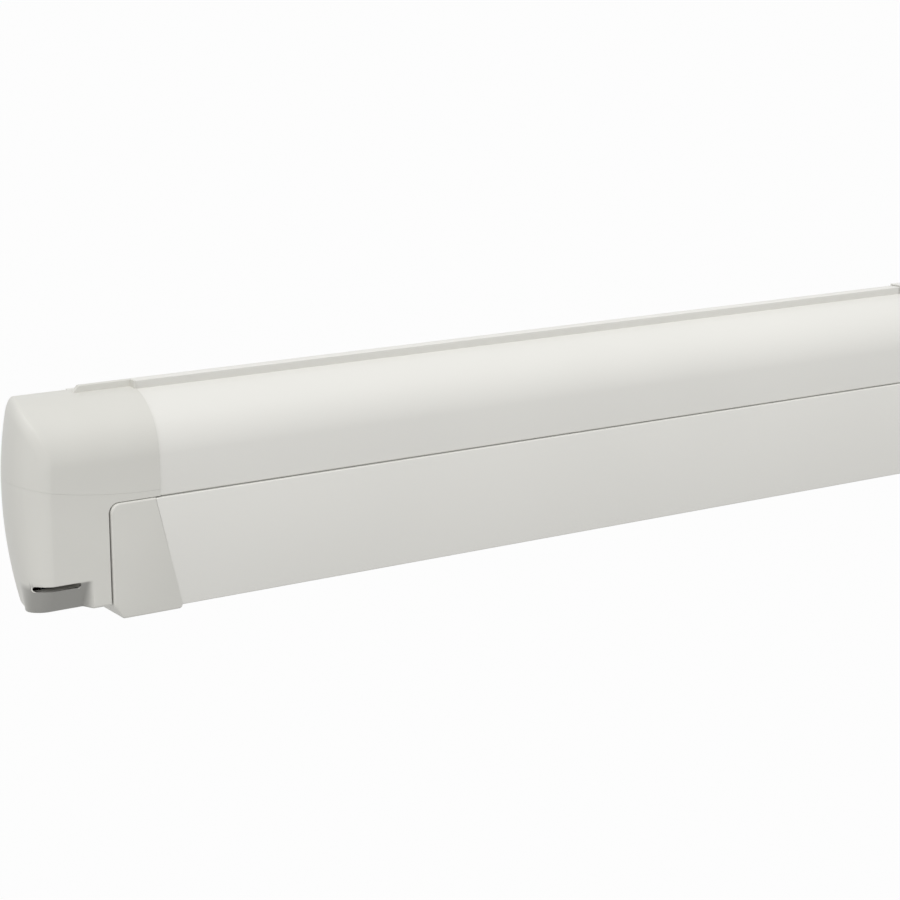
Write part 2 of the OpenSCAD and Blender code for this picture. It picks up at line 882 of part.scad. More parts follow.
// Rail cap: closed moulding with round upper and slanted lower outer corners.
module rail_cap() {
  corner = 10;
  top = seam_z;
  low = rail_low - 3;
  skin = 2.5;
  chamfer_z = low + 12;
  chamfer_x = 8;
  wide = 100;
  intersection() {
    difference() {
      box([-rail_x, -rail_front - 0.5, low], [-joint_low + 1, channel_y + 1, top]);
      box([-rail_x + skin, -rail_front + skin - gap, low - 1],
        [-joint_low + 2, channel_y + 2, roof_z - 0.5]);
      box([-rail_x + skin, -rail_front + skin - gap, roof_z + rail_wall + 0.5],
        [-joint_low + 2, channel_y + 2, top - 3]);
    }
    rail_end_cut(seat);
    translate([0, -20, 0]) rotate([90, 0, 0]) mirror([0, 0, 1]) linear_extrude(height = 120) union() {
      translate([-rail_x, chamfer_z]) square([wide, top - corner - chamfer_z]);
      translate([-rail_x + corner, top - corner - eps]) square([wide, corner + eps]);
      translate([-rail_x + corner, top - corner]) circle(r = corner);
      polygon([[-rail_x, chamfer_z + eps], [-rail_x + chamfer_x, low], [-rail_x + wide, low],
        [-rail_x + wide, chamfer_z + eps]]);
    }
  }
}

module left_rail_cap() {
  color("gainsboro") place() rail_cap();
}

module right_rail_cap() {
  color("gainsboro") place() right_side() rail_cap();
}

// Cord welded into the fabric's front hem, held by the lead rail's groove.
module front_keder() {
  color("lightgray") place() bar(-fabric_x, fabric_x, keder_y, keder_z, keder_r);
}

// Roller with its plugs, the drive's worm wheel and the wound fabric.
module roller_tube() {
  color("silver") place() difference() {
    bar(-roller_end, roller_end, roller_y, roller_z, roller_r);
    bar(-roller_end - 1, roller_end + 1, roller_y, roller_z, roller_r - roller_wall);
  }
}

module plug(axle_to) {
  bar(-roller_end, -roller_end + plug_l, roller_y, roller_z, roller_r - roller_wall - seat);
  bar(-axle_to, -roller_end + eps, roller_y, roller_z, axle_r);
}

module drive_plug() {
  color("dimgray") place() plug(gear_x + wheel_w / 2 + 1);
}

module idler_plug() {
  color("dimgray") place() right_side() plug(body_x + plate_t + 2);
}

module fabric_roll() {
  color("lightsteelblue") place() difference() {
    bar(-fabric_x, fabric_x, roller_y, roller_z, roll_r);
    bar(-fabric_x - 1, fabric_x + 1, roller_y, roller_z, roller_r + seat);
  }
}

// Cord that anchors the fabric inside the roller tube's wall line.
module rear_keder() {
  color("lightgray") place() bar(-fabric_x, fabric_x, roller_y, roller_z + roller_r - roller_wall - 3, 2.5);
}

module fabric_strip() {
  rear = roller_y - 2;
  front = keder_y + groove_out + 1;
  z_rear = roller_z - roll_r - gap - fabric_t;
  color("lightsteelblue") place() along(-fabric_x, fabric_x)
    polygon([[front, keder_z - fabric_t / 2], [rear, z_rear],
      [rear, z_rear + fabric_t], [front, keder_z + fabric_t / 2]]);
}

// Bushes pressed into the end plates.
module roller_bushes() {
  color("ivory") place() both_sides() difference() {
    union() {
      bar(-body_x - plate_t, -body_x, roller_y, roller_z, axle_r + 3 - 0.02);
      bar(-body_x - plate_t - 2, -body_x - plate_t, roller_y, roller_z, axle_r + 5);
    }
    bar(-body_x - plate_t - 3, -body_x + 1, roller_y, roller_z, axle_r + pin_fit);
  }
}

// Worm wheel: each tooth is turned to the worm's lead.
module worm_wheel() {
  base = 1.05 * gear_module;
  tip = 0.42 * gear_module;
  color("goldenrod") place() difference() {
    union() {
      bar(-gear_x - wheel_w / 2, -gear_x + wheel_w / 2, roller_y, roller_z, wheel_r - 1.1 * gear_module);
      translate([-gear_x, roller_y, roller_z]) for (i = [0:wheel_teeth - 1])
        rotate([i * 360 / wheel_teeth, 0, 0]) wheel_tooth(base / 2, tip / 2);
    }
    bar(-gear_x - wheel_w, -gear_x + wheel_w, roller_y, roller_z, axle_r + 0.02);
  }
}

module wheel_tooth(base, tip) {
  root = wheel_r - 1.5 * gear_module;
  crest = wheel_r + 0.8 * gear_module;
  half = 0.42 * wheel_w;
  rotate([90, 0, 0]) rotate([0, 0, -worm_angle])
    translate([-half, 0, root]) rotate([90, 0, 90]) linear_extrude(height = 2 * half)
      polygon([[-base, 0], [base, 0], [tip, crest - root], [-tip, crest - root]]);
}

// Thread radius round the worm: root, flank, crest and flank.
function thread_r(turn) =
  turn < 0.3 || turn > 0.7 ? worm_root
  : turn < 0.41 ? worm_root + (worm_tip - worm_root) * (turn - 0.3) / 0.11
  : turn > 0.59 ? worm_root + (worm_tip - worm_root) * (0.7 - turn) / 0.11
  : worm_tip;

module worm_thread() {
  points = 20;
  turns = worm_len / worm_lead;
  linear_extrude(height = worm_len, center = true, twist = -360 * turns, slices = 36, $fn = points)
    polygon([for (i = [0:points - 1]) thread_r(i / points) * [cos(360 * i / points), sin(360 * i / points)]]);
}

module worm_shaft() {
  color("silver") place() translate([-gear_x, worm_y, 0]) {
    translate([0, 0, roller_z]) rotate([0, 0, worm_phase - 180 * worm_len / worm_lead]) worm_thread();
    post(0, 0, roller_z + worm_len / 2 - 0.1, case_high - case_t - gap, shaft_r);
    post(0, 0, shaft_low, roller_z - worm_len / 2 + 0.1, shaft_r);
  }
}

// Steel ring at the crank shaft's foot that takes the crank's hook.
module crank_eye() {
  color("silver") place() translate([-gear_x, worm_y, eye_z]) difference() {
    union() {
      rotate([90, 0, 0]) rotate_extrude() translate([eye_r, 0]) circle(r = eye_wire_r);
      post(0, 0, eye_r - 1, eye_r + 14, shaft_r + 2.5);
    }
    post(0, 0, eye_r, eye_r + 15, shaft_r + 0.02);
  }
}

// Gear case around worm and wheel, with a flat cover on its inner side.
module case_outline(grow) {
  translate([worm_y - case_half + case_t - grow, case_low + case_t - grow])
    square([2 * (case_half - case_t + grow), case_high - case_low - 2 * case_t + 2 * grow]);
  translate([roller_y, roller_z]) circle(r = wheel_bore + grow);
  translate([worm_y, roller_z - 12 - grow]) square([roller_y - worm_y, 24 + 2 * grow]);
}

module gear_case() {
  color("dimgray") place() difference() {
    along(-case_out, -case_in) case_outline(case_t);
    along(-case_out + case_t, -case_in + 1) case_outline(0);
    post(-gear_x, worm_y, case_low - 1, case_high - case_t + 0.1, shaft_r + 2.02);
  }
}

module gear_cover() {
  far = -body_x - plate_t - 2 - gap;
  color("gray") place() difference() {
    union() {
      along(-case_in + 0.05, -case_in + case_t) case_outline(case_t);
      bar(-case_in + case_t - eps, far, roller_y, roller_z, axle_r + 6);
    }
    bar(-case_in - 1, far + 1, roller_y, roller_z, axle_r + 1);
  }
}

module worm_bushes() {
  color("ivory") place() translate([-gear_x, worm_y, 0]) {
    difference() {
      post(0, 0, case_low, case_low + case_t, shaft_r + 2);
      post(0, 0, case_low - 1, case_high, shaft_r + pin_fit);
    }
    difference() {
      post(0, 0, case_high - 2 * case_t - 0.1, case_high - case_t, shaft_r + 1.9);
      post(0, 0, case_low, case_high, shaft_r + pin_fit);
    }
  }
}

// Telescopic legs lie in the rail's channel, the left one in front of the right one.
module leg_tube(row) {
  difference() {
    union() {
      box([-leg_x + knuckle_l, row - leg_half, leg_z - leg_half],
        [-collar_x, row + leg_half, leg_z + leg_half]);
      cross_bar(-leg_x, row - leg_half, row + leg_half, leg_z, leg_half - 0.6);
      box([-leg_x, row - leg_half, leg_z - 6], [-leg_x + knuckle_l + 1, row + leg_half, leg_z + 6]);
      for (side = [-1, 1]) leg_lug(row + side * (leg_half - lug_t / 2));
    }
    box([-leg_x + knuckle_l + 16, row - leg_bore, leg_z - leg_bore],
      [-collar_x + 1, row + leg_bore, leg_z + leg_bore]);
    cross_bar(-leg_x, row - leg_w, row + leg_w, leg_z, leg_pin_r + pin_fit);
  }
}

// Lugs under the tube's end hold the clamp lever's pin.
module leg_lug(y) {
  x = -lever_x;
  difference() {
    box([x - 4, y - lug_t / 2, leg_z - leg_half - 2 * lever_drop],
      [x + 4, y + lug_t / 2, leg_z - leg_half + 1]);
    cross_bar(x, y - lug_t, y + lug_t, leg_z - leg_half - lever_drop, lever_pin_r + pin_fit);
  }
}

module leg_lever(row) {
  x = -lever_x;
  z = leg_z - leg_half - lever_drop;
  inner = leg_half - lug_t - gap;
  box([x - lever_l, row - inner, z - 2], [x, row + inner, z + 2]);
  cross_bar(x, row - inner, row + inner, z, 2.4);
  cross_bar(x, row - leg_half + eps, row + leg_half - eps, z, lever_pin_r);
}

module leg_inner(row) {
  from = -leg_x + knuckle_l + 30;
  end = -foot_pin - 10;
  difference() {
    union() {
      box([from, row - leg_in, leg_z - leg_in], [end, row + leg_in, leg_z + leg_in]);
      box([end - eps, row - 3, leg_z - 6], [-foot_pin, row + 3, leg_z + 6]);
      cross_bar(-foot_pin, row - 3, row + 3, leg_z, 6);
      cross_bar(-foot_pin, row - leg_half + 1, row + leg_half - 1, leg_z, foot_pin_r);
    }
    box([from - 1, row - leg_in + leg_wall, leg_z - leg_in + leg_wall],
      [end - 4, row + leg_in - leg_wall, leg_z + leg_in - leg_wall]);
  }
}

module leg_foot(row) {
  wide = leg_half - 1;
  difference() {
    union() {
      cross_bar(-foot_pin, row - wide, row + wide, leg_z, foot_half);
      box([-foot_pin, row - wide, leg_z - foot_half + 0.3], [-foot_x, row + wide, leg_z + foot_half - 0.3]);
    }
    box([-foot_pin - 20, row - 3 - gap, leg_z - 20], [-foot_pin + 8, row + 3 + gap, leg_z + 20]);
    cross_bar(-foot_pin, row - leg_w, row + leg_w, leg_z, foot_pin_r + pin_fit);
  }
}

// Hangers under the channel's roof carry the legs' pivot pins.
module leg_hanger(row) {
  far = leg_half + gap;
  low = leg_z - 9;
  for (side = [-1, 1]) {
    from = side > 0 ? row + far : row - far - 2.4;
    box([-leg_x - 9, from, low], [-leg_x + 9, from + 2.4, roof_z]);
  }
  cross_bar(-leg_x, row - far - 1, row + far + 1, leg_z, leg_pin_r);
}

module leg_hangers() {
  color("gray") place() {
    leg_hanger(front_row);
    right_side() leg_hanger(rear_row);
  }
}

module left_leg_tube() {
  color("whitesmoke") place() leg_tube(front_row);
}

module left_leg_inner() {
  color("silver") place() leg_inner(front_row);
}

module left_leg_foot() {
  color("dimgray") place() leg_foot(front_row);
}

module left_leg_lever() {
  color("dimgray") place() leg_lever(front_row);
}

module right_leg_tube() {
  color("whitesmoke") place() right_side() leg_tube(rear_row);
}

module right_leg_inner() {
  color("silver") place() right_side() leg_inner(rear_row);
}

module right_leg_foot() {
  color("dimgray") place() right_side() leg_foot(rear_row);
}

module right_leg_lever() {
  color("dimgray") place() right_side() leg_lever(rear_row);
}

housing_profile();
front_seal();
left_end_plate();
right_end_plate();
left_cap_upper();
left_cap_lower();
right_cap_upper();
right_cap_lower();
inner_wall_brackets();
outer_wall_brackets();
bracket_lock_screws();
cap_screws();
end_plate_screws();
shoulder_brackets();
shoulder_pins();
shoulder_bolts();
gear_case();
gear_cover();
roller_bushes();
worm_bushes();
roller_tube();
drive_plug();
idler_plug();
worm_wheel();
fabric_roll();
rear_keder();
worm_shaft();
crank_eye();
left_upper_tube();
left_shoulder_knuckle();
left_elbow_fork();
left_elbow_pin();
left_arm_spring();
left_fore_tube();
left_elbow_tongue();
left_wrist_tongue();
right_upper_tube();
right_shoulder_knuckle();
right_elbow_fork();
right_elbow_pin();
right_arm_spring();
right_fore_tube();
right_elbow_tongue();
right_wrist_tongue();
lead_rail();
left_rail_cap();
right_rail_cap();
wrist_brackets();
wrist_pins();
front_keder();
leg_hangers();
fabric_strip();
left_leg_tube();
left_leg_inner();
left_leg_foot();
left_leg_lever();
right_leg_tube();
right_leg_inner();
right_leg_foot();
right_leg_lever();
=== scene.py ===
"""Looks of a closed cassette awning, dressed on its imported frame."""

import json
import math

import bmesh
import bpy
from bpy.props import FloatProperty, FloatVectorProperty, PointerProperty, StringProperty
from mathutils import Matrix, Vector


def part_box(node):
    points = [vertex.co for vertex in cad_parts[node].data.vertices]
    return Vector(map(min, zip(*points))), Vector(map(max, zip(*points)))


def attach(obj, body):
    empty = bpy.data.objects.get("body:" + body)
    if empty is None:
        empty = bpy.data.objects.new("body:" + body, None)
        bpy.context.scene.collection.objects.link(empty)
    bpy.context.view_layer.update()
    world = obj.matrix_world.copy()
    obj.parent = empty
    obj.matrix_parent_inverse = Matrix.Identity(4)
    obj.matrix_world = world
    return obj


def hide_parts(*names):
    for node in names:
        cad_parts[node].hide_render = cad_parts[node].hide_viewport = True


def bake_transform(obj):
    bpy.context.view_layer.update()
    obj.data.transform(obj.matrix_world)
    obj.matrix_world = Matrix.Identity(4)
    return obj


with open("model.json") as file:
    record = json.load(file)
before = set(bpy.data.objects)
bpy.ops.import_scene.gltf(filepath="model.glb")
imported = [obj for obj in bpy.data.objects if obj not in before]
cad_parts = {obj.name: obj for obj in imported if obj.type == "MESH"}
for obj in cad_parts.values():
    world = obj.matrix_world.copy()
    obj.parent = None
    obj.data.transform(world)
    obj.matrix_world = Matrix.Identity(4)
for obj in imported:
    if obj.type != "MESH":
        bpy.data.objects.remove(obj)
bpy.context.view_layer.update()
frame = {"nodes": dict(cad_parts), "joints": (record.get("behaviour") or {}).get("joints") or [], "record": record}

bl_info = {
    "name": "Roll out awning",
    "version": (1, 0, 0),
    "blender": (4, 5, 0),
    "location": "View3D > Sidebar > Awning",
    "description": "Dresses a cassette awning for a camper side wall",
    "category": "Object",
}

MM = 0.001
SIDES = (("left", -1), ("right", 1))


def corners_of(node):
    """A node's lowest and highest corner at rest."""
    return [Vector(corner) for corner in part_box(node)]


# Places that the frame gives, in metres. Depth counts back from the housing's front face.
HOUSING_LOW, HOUSING_HIGH = corners_of("housing_profile")
CAP_LOW, CAP_HIGH = corners_of("left_cap_upper")
CAP_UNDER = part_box("left_cap_lower")[0][2]
RAIL_LOW, RAIL_HIGH = corners_of("lead_rail")
RAIL_CAP_LOW, RAIL_CAP_HIGH = corners_of("left_rail_cap")
ROLL_LOW, ROLL_HIGH = corners_of("fabric_roll")
TUBE_LOW, TUBE_HIGH = corners_of("roller_tube")
STRIP_LOW, STRIP_HIGH = corners_of("fabric_strip")
KEDER_LOW, KEDER_HIGH = corners_of("front_keder")
FRONT = HOUSING_LOW.y
BODY_X = HOUSING_HIGH.x
HALF_X = -CAP_LOW.x

# Edges past these angles in degrees stay sharp: on drawn pieces, on mouldings and on cloth.
SHARP, CAP_SHARP, CLOTH_SHARP = 35, 30, 60


def length(name, description, size):
    """A length property, given in mm."""
    return FloatProperty(name=name, description=description, default=size * MM, unit="LENGTH", precision=4)


class AwningSizes(bpy.types.PropertyGroup):
    """Sizes of the dressed pieces"""

    crown_r: length("Crown", "Radius of the housing's round top front", 50)
    wall: length("Wall", "Wall of the extrusions", 2.4)
    ridge_h: length("Ridge height", "Height of the raised ridge along the top", 6.5)
    ridge_y: length("Ridge place", "Depth of the ridge's front edge", 39)
    ridge_w: length("Ridge width", "Width of the ridge", 12)
    ridge_under: length("Ridge undercut", "How far the ridge's foot stands back under its front edge", 1.6)
    roof_y: length("Roof place", "Depth at which the roof starts to fall", 70)
    roof_fall: length("Roof fall", "Height that the roof falls towards the wall", 15)
    tray_y: length("Tray place", "Depth at which the tray starts", 64)
    seam_z: length("Seam", "Height of the seam between housing and lead rail", -4.6)
    seam_half: length("Half seam", "Half of the open seam", 0.6)
    soft_edge: length("Soft edge", "Radius of small moulded and drawn edges", 0.8)
    cap_wall: length("Cap wall", "Wall of the moulded caps", 2.6)
    cap_proud: length("Cap step", "How far a cap stands proud of the housing", 0.8)
    cap_edge_r: length("Cap edge", "Radius of the edge round the cap's end face", 4)
    cap_roof_y: length("Cap roof", "Depth at which the cap's roof starts to fall", 62)
    cap_swell_top: length("Upper swell", "Radius of the end face's swell above its middle", 310)
    cap_swell_low: length("Lower swell", "Radius of the end face's swell below its middle", 380)
    cap_ridge_l: length("Cap ridge", "Length of the ridge that runs on over the cap", 55)
    parting_z: length("Parting line", "Height of the caps' parting line at the housing", 1.5)
    parting_r: length("Parting radius", "Radius of the parting line's rise", 480)
    crank_x: length("Crank place", "Distance of the crank from the cap's inner end", 92)
    slot_w: length("Slot width", "Width of the crank slot", 38)
    slot_h: length("Slot height", "Height of the crank slot", 5)
    scoop_z: length("Scoop top", "Depth of the crank scoop's top edge", 66)
    scoop_d: length("Scoop depth", "Depth of the crank scoop at the cap's underside", 11)
    pocket_y: length("Pocket", "Depth of the rail cap's pocket in the cap", 66)
    hem_t: length("Hem", "Thickness of the cloth's front hem", 1.5)
    stitch_pitch: length("Stitch pitch", "Distance from stitch to stitch in the hem", 4)
    stitch_l: length("Stitch", "Length of a stitch in the hem", 3)
    thread: length("Thread", "Thickness of the hem's sewing thread", 0.6)
    fabric_turns: FloatProperty(name="Fabric turns", description="Turns of cloth on the roller", default=11)


class AwningColours(bpy.types.PropertyGroup):
    """Colours of the finishes, as sRGB hex values"""

    coat: StringProperty(name="Powder coat", description="Warm white coat of the extrusions", default="DDDCD7")
    cap: StringProperty(name="Caps", description="Warm white of the mouldings", default="D0CFC9")
    fabric: StringProperty(name="Fabric", description="Grey of the coated cloth", default="7E858C")


class AwningStage(bpy.types.PropertyGroup):
    """Camera and light"""

    camera_at: FloatVectorProperty(name="Camera", description="Place of the camera", subtype="XYZ", unit="LENGTH",
                                   default=(-2.1839, -1.7908, 0.4704))
    camera_way: FloatVectorProperty(name="View", description="Direction of view", subtype="DIRECTION",
                                    default=(0.5357, 0.8121, -0.2314))
    lens: FloatProperty(name="Lens", description="Focal length on a 36 mm sensor", default=92, precision=1)
    key_lift: FloatProperty(name="Key height", description="Elevation of the key light", subtype="ANGLE",
                            default=math.radians(60))
    key_turn: FloatProperty(name="Key side", description="How far the key light stands to the left of the front",
                            subtype="ANGLE", default=math.radians(12))
    key_power: FloatProperty(name="Key", description="Strength of the key light", default=1.4, precision=2)
    sky_power: FloatProperty(name="Sky", description="Strength of the even light", default=0.6, precision=2)
    fill_power: FloatProperty(name="Fill", description="Strength of the light from the left", default=0.6, precision=2)
    ground: FloatProperty(name="Ground", description="Height of the floor that the drawn out legs stand on",
                          unit="LENGTH", default=-2.51)


def linear(hex_colour):
    """An sRGB hex colour as a linear RGBA."""
    parts = [int(hex_colour[i:i + 2], 16) / 255 for i in (0, 2, 4)]
    return tuple(p / 12.92 if p <= 0.04045 else ((p + 0.055) / 1.055) ** 2.4 for p in parts) + (1.0,)


def shade(colour, factor):
    """A lighter or darker linear colour."""
    return tuple(min(1.0, c * factor) for c in colour[:3]) + (1.0,)


def add(tree, kind, settings=None, **inputs):
    """Adds a node with its settings and inputs; an input's key is its name, or i and its place in the list."""
    node = tree.nodes.new(kind)
    for key, value in (settings or {}).items():
        if key == "color_ramp":
            for element, (position, colour) in zip(node.color_ramp.elements, value):
                element.position, element.color = position, colour
        else:
            setattr(node, key, value)
    for key, value in inputs.items():
        numbered = key[0] == "i" and key[1:].isdigit()
        socket = node.inputs[int(key[1:]) if numbered else key.replace("_", " ")]
        if isinstance(value, bpy.types.NodeSocket):
            tree.links.new(value, socket)
        else:
            socket.default_value = value
    return node


def bare_tree(owner):
    """The emptied node tree of a material or a world."""
    owner.use_nodes = True
    owner.node_tree.nodes.clear()
    return owner.node_tree


def new_material(name):
    """An empty material with its shader and output joined; gives the tree, the shader and object coordinates."""
    material = bpy.data.materials.new(name)
    tree = bare_tree(material)
    shader = add(tree, "ShaderNodeBsdfPrincipled")
    add(tree, "ShaderNodeOutputMaterial", Surface=shader.outputs["BSDF"])
    place = add(tree, "ShaderNodeTexCoord").outputs["Object"]
    return material, tree, shader, place


def grey(value):
    """A linear grey."""
    return (value, value, value, 1.0)


def finish_surface(tree, shader, base, tone, shades, wear, roughness, relief, depth):
    """Gives the shader a colour by tone, a roughness by wear and a bump by relief; each pair is (place, value)."""
    tint = add(tree, "ShaderNodeValToRGB", {"color_ramp": [(at, shade(base, s)) for at, s in shades]}, Fac=tone)
    rough = add(tree, "ShaderNodeValToRGB", {"color_ramp": [(at, grey(r)) for at, r in roughness]}, Fac=wear)
    bump = add(tree, "ShaderNodeBump", Strength=1.0, Distance=depth, Height=relief)
    tree.links.new(tint.outputs["Color"], shader.inputs["Base Color"])
    tree.links.new(rough.outputs["Color"], shader.inputs["Roughness"])
    tree.links.new(bump.outputs["Normal"], shader.inputs["Normal"])
    return tint.outputs["Color"]


def powder_coat():
    """Polyester powder coat on aluminium: a satin film with a fine orange peel."""
    base = linear(bpy.context.scene.awning_colours.coat)
    material, tree, shader, place = new_material("powder coated aluminium")
    # Orange peel waves are about 1.5 mm long; their depth is drawn up to show.
    peel = add(tree, "ShaderNodeTexNoise", Vector=place, Scale=1 / (1.5 * MM), Detail=2.0).outputs["Fac"]
    # Film thickness drifts over about 300 mm and shifts the shade by a hair.
    drift = add(tree, "ShaderNodeTexNoise", Vector=place, Scale=1 / (300 * MM), Detail=2.0).outputs["Fac"]
    finish_surface(tree, shader, base, drift, ((0.3, 0.975), (0.7, 1.015)), drift, ((0.3, 0.40), (0.7, 0.47)),
                   peel, 0.012 * MM)
    return material


def moulded_cap():
    """Injection moulded ASA: satin with a fine spark eroded grain, and painted shade in the crank scoop."""
    base = linear(bpy.context.scene.awning_colours.cap)
    material, tree, shader, place = new_material("moulded ASA")
    # Spark grain of about 0.6 mm, drawn coarser than real so that it shows.
    grain = add(tree, "ShaderNodeTexNoise", Vector=place, Scale=1 / (0.6 * MM), Detail=3.0).outputs["Fac"]
    flow = add(tree, "ShaderNodeTexNoise", Vector=place, Scale=1 / (90 * MM), Detail=2.0).outputs["Fac"]
    tint = finish_surface(tree, shader, base, flow, ((0.3, 0.98), (0.7, 1.015)), grain, ((0.3, 0.42), (0.7, 0.52)),
                          grain, 0.012 * MM)
    # Painted shade: the crank scoop's colour is darkened by up to half with the mesh's "recess" value, standing in for
    # the shade under the cap.
    recess = add(tree, "ShaderNodeAttribute", {"attribute_name": "recess"}).outputs["Fac"]
    painted_shade = add(tree, "ShaderNodeValToRGB", {"color_ramp": [(0.0, grey(1.0)), (1.0, grey(0.5))]}, Fac=recess)
    shaded_tint = add(tree, "ShaderNodeMix", {"data_type": "RGBA", "blend_type": "MULTIPLY"}, i0=1.0, i6=tint,
                i7=painted_shade.outputs["Color"])
    tree.links.new(shaded_tint.outputs[2], shader.inputs["Base Color"])
    return material


def drawn_aluminium():
    """Mill finish aluminium: bright, with die lines along the length."""
    material, tree, shader, place = new_material("mill finish aluminium")
    # Die lines 0.8 mm apart run along X, so the pattern is stretched that way.
    lines = add(tree, "ShaderNodeMapping", Vector=place, Scale=(1 / 0.4, 1 / (0.8 * MM), 1 / (0.8 * MM)))
    wear = add(tree, "ShaderNodeTexNoise", Vector=lines.outputs["Vector"], Scale=1.0, Detail=3.0).outputs["Fac"]
    shader.inputs["Metallic"].default_value = 1.0
    finish_surface(tree, shader, linear("C9CACB"), wear, ((0.3, 0.92), (0.7, 1.03)), wear, ((0.3, 0.30), (0.7, 0.42)),
                   wear, 0.01 * MM)
    return material


def cast_coat():
    """Die cast aluminium under a light grey coat: slightly pebbled."""
    material, tree, shader, place = new_material("coated die cast aluminium")
    pebble = add(tree, "ShaderNodeTexNoise", Vector=place, Scale=1 / (2.2 * MM), Detail=3.0).outputs["Fac"]
    finish_surface(tree, shader, linear("CBC9C3"), pebble, ((0.3, 0.97), (0.7, 1.02)), pebble,
                   ((0.3, 0.45), (0.7, 0.56)), pebble, 0.03 * MM)
    return material


def zinc_steel():
    """Zinc plated steel: cool grey metal with a mottled spangle."""
    material, tree, shader, place = new_material("zinc plated steel")
    spangle = add(tree, "ShaderNodeTexVoronoi", Vector=place, Scale=1 / (2.5 * MM)).outputs["Distance"]
    shader.inputs["Metallic"].default_value = 1.0
    finish_surface(tree, shader, linear("B7B9BA"), spangle, ((0.1, 0.93), (0.7, 1.05)), spangle,
                   ((0.1, 0.24), (0.7, 0.36)), spangle, 0.004 * MM)
    return material


def plain_moulding(name, hex_colour, smoothest, roughest, grain_mm):
    """A moulded plastic, rubber or bronze piece with a fine even grain."""
    material, tree, shader, place = new_material(name)
    grain = add(tree, "ShaderNodeTexNoise", Vector=place, Scale=1 / (grain_mm * MM), Detail=3.0).outputs["Fac"]
    finish_surface(tree, shader, linear(hex_colour), grain, ((0.3, 0.93), (0.7, 1.06)), grain,
                   ((0.3, smoothest), (0.7, roughest)), grain, 0.02 * MM)
    return material


def awning_cloth():
    """Coated polyester awning cloth: a plain weave with a matt, slightly mottled face."""
    base = linear(bpy.context.scene.awning_colours.fabric)
    material, tree, shader, _ = new_material("coated awning cloth")
    # The sheet's own map is in metres of cloth. Threads lie 0.9 mm apart, drawn about twice as coarse to show:
    # a wave's band is a tenth of pi wide, over its scale.
    cloth = add(tree, "ShaderNodeUVMap", {"uv_map": "cloth"}).outputs["UV"]
    bands = 1 / (2 * math.pi * 0.9 * MM)
    warp, weft = (add(tree, "ShaderNodeTexWave", {"bands_direction": way}, Vector=cloth, Scale=bands).outputs["Fac"]
                  for way in "XY")
    weave = add(tree, "ShaderNodeMath", {"operation": "MULTIPLY"}, i0=warp, i1=weft).outputs["Value"]
    mottle = add(tree, "ShaderNodeTexNoise", Vector=cloth, Scale=1 / (60 * MM), Detail=4.0).outputs["Fac"]
    finish_surface(tree, shader, base, mottle, ((0.25, 0.93), (0.75, 1.06)), weave, ((0.2, 0.80), (0.8, 0.66)),
                   weave, 0.05 * MM)
    return material


def filleted(corners, steps=6):
    """A closed outline whose corners (across, up, radius) are rounded by arcs."""
    outline = []
    count = len(corners)
    for i, (y, z, radius) in enumerate(corners):
        here = Vector((y, z))
        before = (Vector(corners[i - 1][:2]) - here).normalized()
        after = (Vector(corners[(i + 1) % count][:2]) - here).normalized()
        angle = before.angle(after)
        if radius <= 0 or math.pi - angle < 0.02:
            outline.append((y, z))
            continue
        reach = radius / math.tan(angle / 2)
        centre = here + (before + after).normalized() * (radius / math.sin(angle / 2))
        first = here + before * reach - centre
        last = here + after * reach - centre
        sweep = math.atan2(first.x * last.y - first.y * last.x, first.dot(last))
        arc_steps = max(steps, round(steps * abs(sweep) * math.sqrt(radius / (2 * MM)) / 2))
        for k in range(arc_steps + 1):
            turn = sweep * k / arc_steps
            cos, sin = math.cos(turn), math.sin(turn)
            outline.append((centre.x + first.x * cos - first.y * sin, centre.y + first.x * sin + first.y * cos))
    return outline


def new_object(name, data):
    """An object with the given data in the scene."""
    item = bpy.data.objects.new(name, data)
    bpy.context.scene.collection.objects.link(item)
    return item


def skin(rows, count, closed=True):
    """Faces between rows of count points; in a closed row the last point joins the first."""
    faces = []
    for row in range(0, (rows - 1) * count, count):
        for i in range(count if closed else count - 1):
            j = (i + 1) % count
            faces.append((row + i, row + j, row + count + j, row + count + i))
    return faces


def capped(rows, count):
    """Faces between closed rows of count points, with a face on the first row and one on the last."""
    last = (rows - 1) * count
    return skin(rows, count) + [tuple(range(count)), tuple(range(last + count - 1, last - 1, -1))]


def mesh_object(name, verts, faces, material, sharp=SHARP):
    """A mesh object at the origin with merged points, outward faces and smooth shading up to an angle."""
    mesh = bpy.data.meshes.new(name)
    mesh.from_pydata([tuple(v) for v in verts], [], faces)
    work = bmesh.new()
    work.from_mesh(mesh)
    bmesh.ops.remove_doubles(work, verts=work.verts, dist=1e-6)
    bmesh.ops.recalc_face_normals(work, faces=work.faces)
    work.to_mesh(mesh)
    work.free()
    mesh.materials.append(material)
    smooth(mesh, sharp)
    return new_object(name, mesh)


def smooth(mesh, sharp):
    """Smooth shading with edges sharp above an angle in degrees."""
    mesh.polygons.foreach_set("use_smooth", [True] * len(mesh.polygons))
    mesh.set_sharp_from_angle(angle=math.radians(sharp))
    mesh.update()


def applied(piece, sharp):
    """Turns the piece's modifiers into a plain mesh."""
    graph = bpy.context.evaluated_depsgraph_get()
    mesh = bpy.data.meshes.new_from_object(piece.evaluated_get(graph))
    piece.modifiers.clear()
    old = piece.data
    piece.data = mesh
    bpy.data.meshes.remove(old)
    smooth(mesh, sharp)
    return piece


def extrusion(name, outline, start, end, material):
    """Draws an outline of (depth, height) along X; start and end give X from the height."""
    verts = [(x_at(z), FRONT + y, z) for x_at in (start, end) for y, z in outline]
    return mesh_object(name, verts, capped(2, len(outline)), material)


